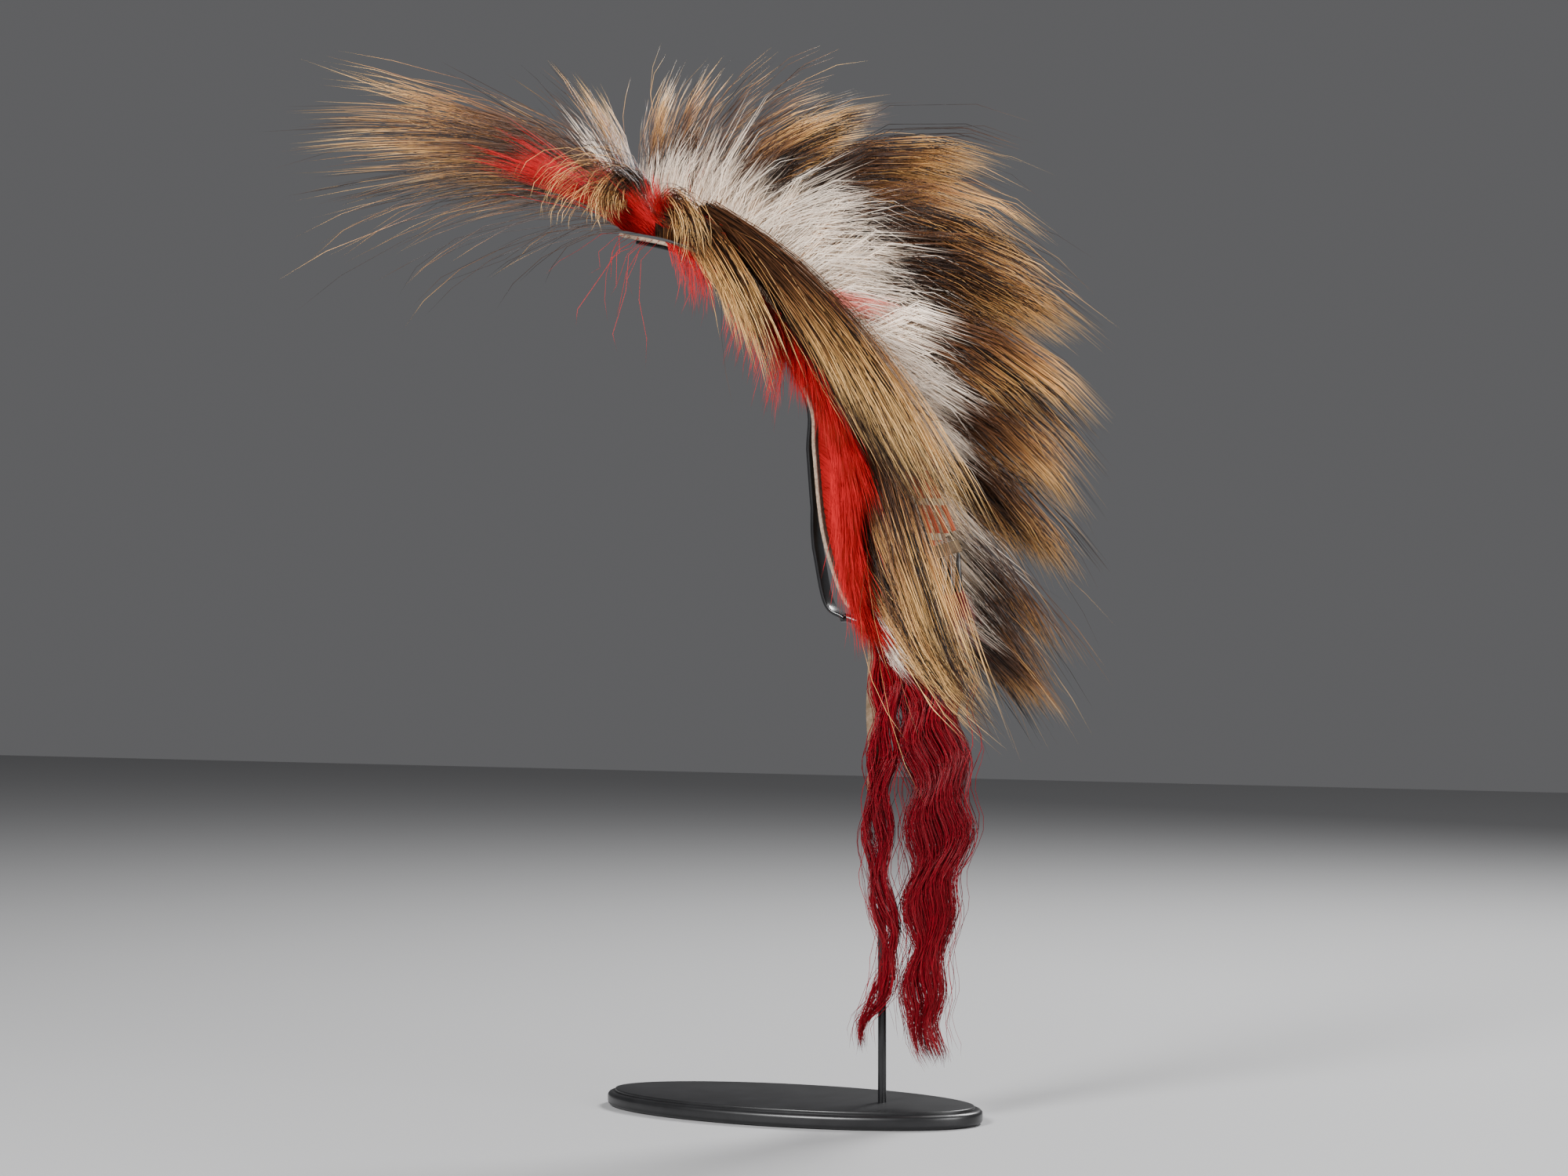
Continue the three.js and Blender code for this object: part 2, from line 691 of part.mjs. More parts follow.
// A lock of the tail: its wrapped head against the strip's back end, and its wavy strands
function tailLock({ line, head, width, thickness, strands }) {
  const wrapped = new THREE.SphereGeometry(1, 10, 6)
    .scale(tailHeadLength / 2, (head.width * tailWidth) / 2, tailHeadLength / 3)
    .translate(archEnd + tailHeadLength / 2, head.depth * tailWidth, tailHeadHeight);
  const across = line.map(() => new THREE.Vector3(1, 0, 0));
  const halfWidths = line.map(({ half }) => tailWidth * half * width);
  const halfThicknesses = line.map(
    ({ half }) => tailWidth * thickness * Math.min(1, tailThinnest + half),
  );
  const strand = ({ place, depth }) => {
    const path = line.map(({ fall, shift, half }) => {
      const x = rodOffset + tailSpread * shift + tailWidth * half * place;
      return new THREE.Vector3(x, depth * tailWidth, tailHeadHeight - fall * tailLength);
    });
    return solidOf(loft(ringsAlong(path, across, halfWidths, halfThicknesses)));
  };
  return join([solidOf(wrapped), ...strands.map(strand)]);
}

// Suede strap that hangs from under the strip's back end
function hideStrap() {
  const top = onStrip(1, -stripThickness / 2);
  const edge = (sign) =>
    STRAP_BENDS.map((bend, j) => {
      const x = top.x + (bend + sign / 2) * hideStrapWidth;
      const fall = (j / (STRAP_BENDS.length - 1)) * hideStrapLength;
      return new THREE.Vector3(x, 0, top.z - gap - fall);
    });
  return band(edge(-1), edge(1), hideStrapThickness, -hideStrapOffset);
}

const part = new THREE.Group();
part.name = "roach_headdress";
const put = (name, solid, material) => part.add(meshOf(name, solid, material));

put("stand_base", standBase(), blackPaint);
put("stand_armature", standArmature(), blackPaint);
put(
  "roach_base",
  stripBand({ from: 0, to: 1, lift: 0, thickness: stripThickness, width: stripWidth }),
  wovenHide,
);

const near = -1;
const far = 1;
const guard = {
  offset: innerRowOffset,
  size: { length: guardLength, width: guardLockWidth, thickness: guardLockThickness },
};
const nearGuard = { ...guard, bend: nearBend };
const red = {
  offset: outerRowOffset,
  size: { length: redLength, width: redLockWidth, thickness: redLockThickness },
};
const crownEnd = rowSplit - rowSplitGap / 2;
const backStart = rowSplit + rowSplitGap / 2;

// Each row's crown part begins at its own share along the strip
const ROWS = [
  { name: "guard_hair_near", kind: nearGuard, guides: NEAR_GUARD, side: near, from: 0.11, locks: [8, 9] },
  { name: "guard_hair_far", kind: guard, guides: FAR_GUARD, side: far, from: 0.09, locks: [10, 10] },
  { name: "red_hair_near", kind: red, guides: NEAR_RED, side: near, from: 0, locks: [8, 8] },
  { name: "red_hair_far", kind: red, guides: FAR_RED, side: far, from: 0, locks: [7, 7] },
];
for (const { name, kind, guides, side, from, locks } of ROWS) {
  const material = kind === red ? redHair : guardHair;
  const row = { ...kind, guides, side };
  const crown = hairRow({ ...row, from, to: crownEnd, locks: locks[0] });
  const back = hairRow({ ...row, from: backStart, to: rowEnd, locks: locks[1] });
  put(`${name}_crown`, crown, material);
  put(`${name}_back`, back, material);
}

// The front tuft fans out from a short stretch at the strip's front end
const tuft = { guides: FRONT_TUFT, from: 0, to: 1, fan: [0.002, 0.085], locks: 7, spread: 9 };
put("guard_hair_front_near", hairRow({ ...guard, ...tuft, side: near }), guardHair);
put("guard_hair_front_far", hairRow({ ...guard, ...tuft, side: far }), guardHair);

TAIL_LOCKS.forEach((lock) => put(lock.name, tailLock(lock), tailHair));
put("hide_strap", hideStrap(), tanHide);
slatLines.forEach((line, i) => put(`quill_slat_${i + 1}`, slat(line), quillwork));
put("hide_tab", hideTab(), tanHide);
for (let i = 0; i < coneCount; i++) {
  put(`metal_cone_${i + 1}`, metalCone(i), darkMetal);
  put(`red_fluff_${i + 1}`, fluff(i), redFluff);
}

export default part;
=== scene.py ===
"""Looks of a roach headdress on its display stand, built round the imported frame.

The hair is many single strands, tied in four rows along the hide strip, with a front tuft and a wavy
horsehair tail. Tables are in millimetres and degrees, +Z up, and the scene is in metres.
"""
import json
import math

import bmesh
import bpy
import numpy as np
from mathutils import Matrix, Vector

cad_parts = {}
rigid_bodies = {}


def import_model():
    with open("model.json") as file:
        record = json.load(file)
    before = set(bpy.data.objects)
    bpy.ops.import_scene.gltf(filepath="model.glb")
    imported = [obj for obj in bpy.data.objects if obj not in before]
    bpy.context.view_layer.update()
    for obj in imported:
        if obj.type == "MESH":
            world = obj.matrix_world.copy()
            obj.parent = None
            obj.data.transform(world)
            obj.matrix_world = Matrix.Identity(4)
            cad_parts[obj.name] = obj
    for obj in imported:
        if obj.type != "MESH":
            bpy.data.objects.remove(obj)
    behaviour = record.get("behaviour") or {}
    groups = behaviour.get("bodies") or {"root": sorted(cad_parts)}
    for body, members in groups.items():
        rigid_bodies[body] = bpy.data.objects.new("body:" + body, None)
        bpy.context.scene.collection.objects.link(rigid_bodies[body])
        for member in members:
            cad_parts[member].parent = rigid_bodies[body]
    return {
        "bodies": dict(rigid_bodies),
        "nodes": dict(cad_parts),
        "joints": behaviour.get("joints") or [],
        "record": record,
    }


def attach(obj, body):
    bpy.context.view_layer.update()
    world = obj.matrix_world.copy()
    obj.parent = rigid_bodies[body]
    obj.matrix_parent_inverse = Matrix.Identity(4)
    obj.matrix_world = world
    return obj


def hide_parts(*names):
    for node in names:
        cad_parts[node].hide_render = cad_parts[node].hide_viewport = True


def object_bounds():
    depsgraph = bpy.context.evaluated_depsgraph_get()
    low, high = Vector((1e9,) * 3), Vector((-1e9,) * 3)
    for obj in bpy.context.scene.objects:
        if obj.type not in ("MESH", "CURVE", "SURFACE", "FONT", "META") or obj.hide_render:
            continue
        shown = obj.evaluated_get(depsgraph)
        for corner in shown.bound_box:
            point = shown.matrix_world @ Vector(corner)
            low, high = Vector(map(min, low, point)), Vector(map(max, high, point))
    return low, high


MM = 0.001
rng = np.random.default_rng(11)

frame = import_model()
first_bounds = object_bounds()

# Sizes shared with the frame. The rod's foot and rings are heights along its straight stretch, and
# the arch's end and height are the place of the hide strip's back end.
GAP = 0.3  # between pieces that touch
BOARD = {"length": 304.8, "width": 139.7, "thickness": 12.7}
LEDGE = {"width": 5.8, "drop": 2.2, "edge_round": 3.4, "top_round": 0.8}
ROD = {"diameter": 6.35, "offset": 74.2, "foot": 5.0, "rings": (292, 220, 120)}
NECK = {"height": 373.6, "reach": 33.0, "drop": 66.0}
CRADLE = {"width": 16.0, "thickness": 3.0, "bow": 15.0}
STRIP = {"width": 30.0, "thickness": 3.0}
ARCH = {"run": 210.0, "drop": 293.0, "end": 71.0, "height": 374.0}
ROW_LIFT = 3.8  # of a row's roots above the strip's middle
GUARD_OFFSET = 5.0  # of the guard hair from the strip's middle
RED_OFFSET = 11.6  # of the red hair from the strip's middle
STRAP = {"length": 128.0, "width": 10.0, "thickness": 2.2, "offset": 7.6, "wave": 0.6, "steps": 24}
SLAT = {"start": 0.54, "length": 161, "pitch": 5.2, "width": 3.4, "thickness": 1.3, "count": 4, "lift": 3.1}
SLAT_RISE = (12, -55, -69)  # at the root, the bend and the tip
SLAT_TURN = {"rise": 1.3, "lean": 1.6}  # degrees from one slat to the next
TAB = {"length": 9, "width": 21, "thickness": 2, "gap": 0.6}
CONE = {"length": 29, "mouth": 6.4, "top": 2.6, "wall": 0.6, "pitch": 7, "count": 3, "hidden": 7}
FLUFF_LENGTH = 36
TAIL_TOP = 373.0  # height of the tail's head

# The hide strip's centre line, front end to back end: shares of the arch's run and drop
STRIP_LINE = [
    (0.0, 0.0), (0.224, 0.038), (0.386, 0.102), (0.619, 0.28), (0.762, 0.451),
    (0.781, 0.58), (0.814, 0.782), (0.888, 0.942), (0.95, 0.988), (1.0, 1.0),
]

# The cradle strap under it: share along the strip, share of its bow
CRADLE_LINE = [
    (0.03, 0.0), (0.12, 0.0), (0.22, 0.0), (0.33, 0.0), (0.44, 0.0),
    (0.54, 0.08), (0.64, 0.32), (0.75, 0.36), (0.85, 0.76), (0.92, 0.97),
]

# The neck down to the rod: shares of its reach and drop
NECK_LINE = [
    (1.0, 0.0), (0.88, 0.0), (0.74, 0.02), (0.48, 0.075), (0.22, 0.2), (0.05, 0.46), (0.0, 1.0),
]

# Hair guides. Columns: share along the strip, length, then rise at the root, at the bend and at the
# tip, then lean at the same three places. Rise is the heading up from +X. Lean is the angle out of
# the middle plane, to the row's own side.

# The front tuft, its upper edge and its loose wisps. Their first column runs across the tuft's fan.
FRONT = [
    (0.00, 296, 116, 158, 176, 6, 6, 7),
    (0.25, 300, 114, 166, 179, 6, 7, 8),
    (0.50, 302, 112, 172, 182, 6, 8, 9),
    (0.75, 300, 112, 177, 185, 7, 9, 10),
    (1.00, 290, 114, 183, 188, 8, 10, 12),
]
UPPER = [
    (0.00, 250, 104, 155, 154, 6, 6, 7),
    (0.60, 254, 113, 156, 158, 6, 7, 8),
    (1.00, 262, 114, 164, 164, 6, 7, 8),
]
WISPS = [
    (0.00, 285, 130, 172, 200, 8, 8, 10),
    (0.40, 290, 140, 180, 208, 8, 10, 12),
    (0.70, 280, 150, 186, 226, 8, 12, 14),
    (1.00, 190, 160, 188, 204, 8, 12, 14),
]
# The far row, which stands in a fan
FAR = [
    (0.01, 180, 119, 127, 147, 10, 14, 18),
    (0.03, 154, 111, 113, 134, 10, 14, 18),
    (0.05, 102, 127, 98, 87, 10, 14, 18),
    (0.07, 126, 107, 102, 67, 10, 14, 18),
    (0.10, 138, 100, 95, 50, 11, 20, 26),
    (0.12, 142, 110, 112, 65, 12, 24, 30),
    (0.16, 150, 112, 95, 38, 12, 24, 30),
    (0.20, 165, 104, 73, 12, 12, 24, 30),
    (0.24, 184, 98, 58, 0, 12, 24, 30),
    (0.28, 212, 98, 45, -20, 12, 24, 30),
    (0.33, 246, 96, 34, -46, 12, 24, 30),
    (0.38, 256, 96, 20, -50, 12, 24, 30),
    (0.43, 262, 96, 4, -50, 12, 24, 30),
    (0.48, 260, 94, -8, -52, 12, 24, 30),
    (0.54, 252, 86, -16, -60, 12, 24, 30),
    (0.60, 244, 72, -24, -68, 12, 24, 30),
    (0.67, 230, 66, -33, -72, 12, 24, 30),
    (0.75, 230, 34, -42, -73, 12, 24, 30),
    (0.85, 206, 26, -48, -62, 12, 24, 28),
    (0.92, 182, 30, -45, -64, 12, 22, 26),
    (0.97, 158, 23, -45, -67, 12, 22, 26),
]
# The near row in the three bundles that it falls into
NEAR_FIRST = [
    (0.08, 176, 122, -28, -61, 20, 26, 16),
    (0.10, 189, 123, -36, -61, 20, 26, 16),
    (0.12, 200, 122, -41, -64, 20, 26, 16),
    (0.134, 209, 112, -43, -61, 20, 26, 16),
]
NEAR_LONG = [
    (0.135, 431, 130, -21, -64, 13, 20, 13),
    (0.17, 404, 128, -29, -60, 13, 20, 13),
    (0.21, 383, 130, -34, -59, 13, 20, 13),
    (0.25, 357, 120, -43, -55, 13, 20, 13),
    (0.275, 336, 115, -43, -56, 13, 20, 13),
]
NEAR_LAST = [
    (0.53, 269, 19, -67, -67, 10, 12, 9),
    (0.58, 259, 19, -77, -55, 10, 12, 9),
    (0.63, 256, 19, -81, -44, 10, 12, 9),
    (0.70, 245, 19, -85, -32, 10, 12, 9),
    (0.80, 190, 20, -77, -31, 10, 12, 9),
    (0.90, 119, 20, -67, -34, 10, 12, 9),
    (0.97, 79, 20, -62, -37, 10, 12, 9),
]
# Short bunches that are bent over the red hair at the crown, and hair swept forward between them
TIED = [
    (0.03, 80, 60, 242, 300, 30, 36, 24),
    (0.055, 86, 60, 252, 300, 30, 36, 24),
]
TIED_NEXT = [
    (0.08, 150, 112, -30, -68, 26, 34, 30),
    (0.12, 150, 118, -36, -72, 26, 34, 30),
]
SWEPT = [
    (0.02, 134, 60, 142, 274, 26, 34, 36),
    (0.06, 137, 60, 147, 290, 26, 34, 36),
]
# The red rows, the fringe on the strip's near edge and a few long threads
NEAR_RED = [
    (0.00, 128, 128, 150, 168, 14, 16, 18),
    (0.06, 92, 122, 150, 140, 16, 22, 22),
    (0.11, 54, 112, 132, 118, 18, 28, 30),
    (0.17, 46, 90, 80, -20, 22, 50, 60),
    (0.22, 62, 40, -40, -62, 30, 62, 50),
    (0.30, 72, 20, -50, -66, 30, 55, 40),
    (0.38, 92, 12, -58, -74, 30, 50, 30),
    (0.46, 98, 4, -52, -70, 28, 40, 24),
    (0.54, 98, -4, -55, -70, 24, 30, 20),
    (0.64, 96, -14, -62, -76, 22, 26, 16),
    (0.76, 84, -20, -66, -78, 20, 24, 14),
    (0.88, 66, -25, -66, -70, 20, 24, 14),
    (1.00, 44, -10, -40, -50, 20, 24, 14),
]
FAR_RED = [
    (0.00, 100, 122, 150, 146, 14, 20, 24),
    (0.10, 80, 112, 138, 124, 16, 28, 34),
    (0.20, 62, 90, 80, 40, 20, 40, 50),
    (0.35, 66, 50, 20, -20, 24, 45, 50),
    (0.50, 76, 30, -20, -50, 24, 40, 40),
    (0.70, 80, 0, -50, -70, 22, 30, 26),
    (0.85, 72, -10, -60, -72, 22, 26, 20),
    (1.00, 44, -10, -40, -50, 20, 24, 14),
]
RED_FRINGE = [
    (0.10, 30, -30, -60, -70, 50, 26, 10),
    (0.14, 56, -35, -70, -80, 50, 22, 6),
    (0.20, 52, -40, -78, -86, 46, 20, 4),
    (0.24, 44, -40, -86, -92, 46, 20, 4),
    (0.32, 62, -50, -92, -96, 44, 18, 4),
    (0.42, 62, -60, -92, -92, 42, 18, 4),
]
RED_THREADS = [
    (0.00, 84, 200, 262, 272, 50, 30, 8),
    (0.09, 105, 230, 268, 262, 50, 20, 4),
]

# Tail locks. Columns: height fallen, middle in X from the rod, half width
TAIL_MAIN = [
    (0, 8, 6), (20, 24, 18), (43, 33, 25), (79, 39, 24), (102, 43, 23), (127, 47, 22),
    (152, 47, 22), (175, 45, 21), (198, 40, 18), (223, 37, 16), (247, 38, 13), (271, 33, 14),
    (297, 31, 15), (317, 38, 13), (330, 42, 8),
]
TAIL_SIDE = [
    (0, 6, 6), (23, 9, 9), (66, 10, 9), (89, 9, 9), (115, 5, 9), (152, 3, 9), (188, 3, 8),
    (211, 7, 7), (234, 13, 6.5), (261, 12, 5), (284, 2, 5), (300, -11, 3), (320, -10, 2),
]


# Geometry of the strip

def catmull_rom(points, steps=48):
    """A smooth line through the points, with each of its points' share along it."""
    p = np.asarray(points, float)
    p = np.vstack([2 * p[0] - p[1], p, 2 * p[-1] - p[-2]])
    t = np.linspace(0, 1, steps, endpoint=False)[:, None]
    line = []
    for a, b, c, d in zip(p, p[1:], p[2:], p[3:]):
        m, n = (c - a) / 2, (d - b) / 2
        line.append(b + m * t + (3 * (c - b) - 2 * m - n) * t**2 + (2 * (b - c) + m + n) * t**3)
    line = np.vstack(line + [p[-2]])
    run = np.concatenate([[0], np.cumsum(np.linalg.norm(np.diff(line, axis=0), axis=1))])
    return line, run / run[-1]


strip_xz, strip_at = catmull_rom([
    (ARCH["end"] - ARCH["run"] * (1 - run), ARCH["height"] + ARCH["drop"] * (1 - drop))
    for run, drop in STRIP_LINE
])
strip_ahead = np.gradient(strip_xz, axis=0)
strip_ahead /= np.linalg.norm(strip_ahead, axis=1)[:, None]
strip_normal = np.stack([-strip_ahead[:, 1], strip_ahead[:, 0]], 1)


def on_strip(at, lift, y):
    """Points in millimetres at shares along the strip, lifted off its middle on the hair's side."""
    at, lift, y = np.broadcast_arrays(*(np.asarray(v, float) for v in (at, lift, y)))
    x, z = (np.interp(at, strip_at, strip_xz[:, k]) for k in (0, 1))
    nx, nz = (np.interp(at, strip_at, strip_normal[:, k]) for k in (0, 1))
    return np.stack([x + nx * lift, y, z + nz * lift], -1)


def read_table(table, at):
    """The table's columns after the first, at each value of the first."""
    rows = np.array(table, float)
    return [np.interp(at, rows[:, 0], column) for column in rows[:, 1:].T]


# Hair paths

MIDDLE = 0.4  # share of a hair's length where its bend is


def grow(root, length, rise, lean, side, shares, middle=MIDDLE):
    """Paths of hairs whose heading turns from the root's to the bend's at the middle share, and on
    to the tip's: hairs x shares x 3."""
    steps = 40
    t = (np.arange(steps) + 0.5) / steps
    low = np.minimum(t / middle, 1)
    high = np.maximum((t - middle) / (1 - middle), 0)

    def heading(angles):
        first, bend, last = (np.asarray(a, float)[:, None] for a in angles)
        return np.radians(first + (bend - first) * low + (last - bend) * high)

    r, l = heading(rise), heading(lean)
    ahead = np.stack([np.cos(r) * np.cos(l), side * np.sin(l), np.sin(r) * np.cos(l)], -1)
    path = np.cumsum(ahead, 1) * (np.asarray(length)[:, None, None] / steps)
    path = np.concatenate([np.zeros_like(path[:, :1]), path], 1) + root[:, None]
    return path[:, np.round(np.asarray(shares) * steps).astype(int)]


def sway(path, shares, amount, turns):
    """Adds a slow wave across each hair that is none at its root."""
    n = len(path)
    t = np.asarray(shares)[None, :, None]
    ways = rng.normal(size=(2, n, 1, 3))
    phase = rng.uniform(0, 2 * math.pi, (2, n, 1, 1))
    speed = turns * rng.uniform(0.6, 1.4, (2, n, 1, 1)) * 2 * math.pi
    size = amount * rng.uniform(0.3, 1.3, (n, 1, 1)) * np.minimum(1, 2 * t)
    waves = ways * (np.sin(speed * t + phase) - np.sin(phase))
    return path + size * waves.sum(0) / 2


def row_hair(guides, side, count, tufts, shares, start=0.0, end=1.0, fan=None, offset=GUARD_OFFSET,
             depth=2.5, length=(1.0, 0.07), spread=(3.0, 4.0), lock_spread=(3.0, 3.0),
             tuft_spread=(4.0, 3.0), locks_each=5, lock_pull=(0.3, 0.8), tuft_pull=(0.3, 0.7),
             short=(0.2, 0.6), wave=(1.0, 0.8), lift=ROW_LIFT, shift=(0.0, 0.0), middle=MIDDLE,
             gather=1.0, band=1.0):
    """Hairs of a row, which draw together into locks, and these into tufts, towards their tips.

    start and end are shares along the strip, or across the fan, which is a stretch of the strip.
    length is a factor and its spread. The other spreads are degrees in rise and in lean, and the
    pulls are the least and most share that tips draw together. short is the share of hairs that
    are shorter and the least length that they keep. wave is its size in mm and its turns. shift is
    degrees added to the lean at the root and beyond. gather is how late the tips draw together.
    Gives the paths, how far along its banding each hair's tip is, and each hair's lock.
    """
    pitch = (end - start) / tufts
    tuft_at = start + pitch * (np.arange(tufts) + rng.uniform(0.2, 0.8, tufts))
    tuft_turn = rng.normal(size=(tufts, 2)) * tuft_spread
    locks = tufts * locks_each
    lock_at = start + pitch / locks_each * (np.arange(locks) + rng.uniform(0.1, 0.9, locks))
    lock_tuft = np.abs(tuft_at[None] - lock_at[:, None]).argmin(1)
    lock_turn = rng.normal(size=(locks, 2)) * lock_spread + tuft_turn[lock_tuft]
    lock_long = 1 + length[1] * rng.normal(size=locks)
    lock_drawn = rng.uniform(*tuft_pull, locks)
    at = rng.uniform(start, end, count)
    wide = at + rng.normal(size=count) * 0.7 * pitch / locks_each
    lock = np.abs(lock_at[None] - wide[:, None]).argmin(1)
    tuft = lock_tuft[lock]

    def set_out(places, turn, y):
        long, r0, r1, r2, l0, l1, l2 = read_table(guides, places)
        rise = (r0 + 0.5 * turn[:, 0], r1 + turn[:, 0], r2 + turn[:, 0])
        l1, l2 = l1 + shift[1] + turn[:, 1], l2 + shift[1] + turn[:, 1]
        root_at = places if fan is None else fan[0] + (fan[1] - fan[0]) * places
        return long, on_strip(root_at, lift, side * y), rise, (l0 + shift[0], l1, l2)

    own_turn = rng.normal(size=(count, 2)) * spread + lock_turn[lock]
    long, root, rise, lean = set_out(at, own_turn, offset + rng.uniform(-depth, depth, count))
    cut = np.where(rng.random(count) < short[0], rng.uniform(short[1], 0.95, count), 1.0)
    own_long = 1 + 0.6 * length[1] * rng.normal(size=count)
    own_length = long * length[0] * lock_long[lock] * own_long * cut

    def path(*where):
        return grow(where[0], own_length, where[1], where[2], side, shares, middle)

    own = path(root, rise, lean)
    of_lock = path(*set_out(lock_at[lock], lock_turn[lock], np.full(count, offset))[1:])
    of_tuft = path(*set_out(tuft_at[tuft], tuft_turn[tuft], np.full(count, offset))[1:])
    t = np.asarray(shares)[None, :, None]
    near_tip = (t * t * (3 - 2 * t)) ** gather
    paths = own + (of_lock - own) * near_tip * rng.uniform(*lock_pull, (count, 1, 1))
    paths += (of_tuft - of_lock) * near_tip * lock_drawn[lock][:, None, None]
    banding = band * (0.7 + 0.3 * cut) * (1 + 0.05 * rng.normal(size=locks)[lock])
    return sway(paths, shares, *wave), banding, lock


box_low, box_high = (np.array(corner, float) / MM for corner in first_bounds)
room = 0.03 * (box_high - box_low) + 7  # how far hair may pass the solids' box on each side


def keep_in(paths):
    """Draws the hairs that would pass the solids' box by more than the room in towards their roots."""
    root = paths[:, :1]
    reach = paths - root
    free = np.where(reach > 0, box_high + room - root, root - box_low + room)
    share = (free / (np.abs(reach) + 1e-6)).min((1, 2))
    share = np.where(share < 1, share * rng.uniform(0.86, 1, len(share)), 1)
    return root + reach * share[:, None, None]


# Strand meshes

SIDES = 3
COLUMNS = 256  # of the strands' UV map, each with its own shade
LOCK_COLUMNS = 4  # columns that the hairs of a lock share
LOCK_STEP = 37  # columns are dealt to the locks with this step
ASIDE = np.array([0.31, 0.87, 0.38])  # a way that no hair runs, which sets how a strand is turned


def strand_faces(rings):
    """The faces of a strand: the vertex of each corner, where each face starts, and each corner's
    place round the strand and along its rings."""
    loop, start, side_of, ring_of = [], [], [], []
    for j in range(rings - 2):
        for k in range(SIDES):
            start.append(len(loop))
            m = (k + 1) % SIDES
            loop += [SIDES * j + k, SIDES * j + m, SIDES * (j + 1) + m, SIDES * (j + 1) + k]
            side_of += [k, k + 1, k + 1, k]
            ring_of += [j, j, j + 1, j + 1]
    j = rings - 2
    for k in range(SIDES):
        start.append(len(loop))
        loop += [SIDES * j + k, SIDES * j + (k + 1) % SIDES, SIDES * (rings - 1)]
        side_of += [k, k + 1, k + 0.5]
        ring_of += [j, j, j + 1]
    start.append(len(loop))
    loop += [2, 1, 0]
    side_of += [0, 1.5, 3]
    ring_of += [0, 0.2, 0]
    return [np.array(values) for values in (loop, start, side_of, ring_of)]


def strand_mesh(name, groups):
    """One mesh of pointed three-sided strands. Each group has paths, how far along the banding
    their tips are and their locks, then the radius in mm and its share left near the tip."""
    vertices, corners, starts, uvs = [], [], [], []
    total_vertices = total_corners = 0
    for (paths, banding, lock), radius, taper in groups:
        paths = keep_in(paths)
        count, rings = paths.shape[:2]
        t = np.linspace(0, 1, rings)
        ahead = np.gradient(paths, axis=1)
        ahead /= np.linalg.norm(ahead, axis=2, keepdims=True) + 1e-9
        across = np.cross(ahead, ASIDE)
        across /= np.linalg.norm(across, axis=2, keepdims=True) + 1e-9
        up = np.cross(ahead, across)
        thick = radius * rng.uniform(0.7, 1.3, (count, 1)) * (1 - (1 - taper) * t[None])
        turn = np.arange(SIDES) * 2 * math.pi / SIDES
        ring = np.cos(turn)[:, None] * across[:, :-1, None] + np.sin(turn)[:, None] * up[:, :-1, None]
        body = paths[:, :-1, None] + ring * thick[:, :-1, None, None]
        each = SIDES * (rings - 1) + 1
        points = np.concatenate([body.reshape(count, -1, 3), paths[:, -1:]], 1)
        loop, start, side_of, ring_of = strand_faces(rings)
        dealt = lock * LOCK_STEP % (COLUMNS // LOCK_COLUMNS)
        column = dealt * LOCK_COLUMNS + rng.integers(0, LOCK_COLUMNS, count)
        u = (column[:, None] + 0.1 + 0.8 * side_of / SIDES) / COLUMNS
        v = ring_of / (rings - 1) * np.broadcast_to(banding, count)[:, None]
        v = np.clip(0.01 + 0.98 * v, 0.01, 0.99)
        uvs.append(np.stack([u, v], -1).reshape(-1, 2))
        strand = np.arange(count)[:, None]
        corners.append((loop + each * strand).ravel() + total_vertices)
        starts.append((start + len(loop) * strand).ravel() + total_corners)
        vertices.append(points.reshape(-1, 3) * MM)
        total_vertices += each * count
        total_corners += len(loop) * count
    mesh = bpy.data.meshes.new(name)
    corners, starts = np.concatenate(corners), np.concatenate(starts)
    mesh.vertices.add(total_vertices)
    mesh.vertices.foreach_set("co", np.concatenate(vertices).astype(np.float32).ravel())
    mesh.loops.add(total_corners)
    mesh.loops.foreach_set("vertex_index", corners.astype(np.int32))
    mesh.polygons.add(len(starts))
    mesh.polygons.foreach_set("loop_start", starts.astype(np.int32))
    mesh.update(calc_edges=True)
    layer = mesh.uv_layers.new(name="OFBake")
    layer.data.foreach_set("uv", np.concatenate(uvs).astype(np.float32).ravel())
    mesh.polygons.foreach_set("use_smooth", np.ones(len(starts), bool))
    return mesh


def place(name, mesh, material, nodes=()):
    """A finished piece of the object, which stands for the named nodes."""
    piece = bpy.data.objects.new(name.replace(" ", "_"), mesh)
    bpy.context.scene.collection.objects.link(piece)
    piece.data.materials.append(material)
    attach(piece, "root")
    if nodes:
        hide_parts(*nodes)


# Node groups and materials

def new_group(name, inputs, outputs):
    group = bpy.data.node_groups.new(name, "ShaderNodeTree")
    for socket, kind, default in inputs:
        made = group.interface.new_socket(socket, in_out="INPUT", socket_type=kind)
        made.default_value = default
    for socket, kind in outputs:
        group.interface.new_socket(socket, in_out="OUTPUT", socket_type=kind)
    return group, group.nodes.new("NodeGroupInput"), group.nodes.new("NodeGroupOutput")


def math_node(tree, operation, *values):
    node = tree.nodes.new("ShaderNodeMath")
    node.operation = operation
    for socket, value in zip(node.inputs, values):
        if isinstance(value, (int, float)):
            socket.default_value = value
        else:
            tree.links.new(value, socket)
    return node.outputs[0]


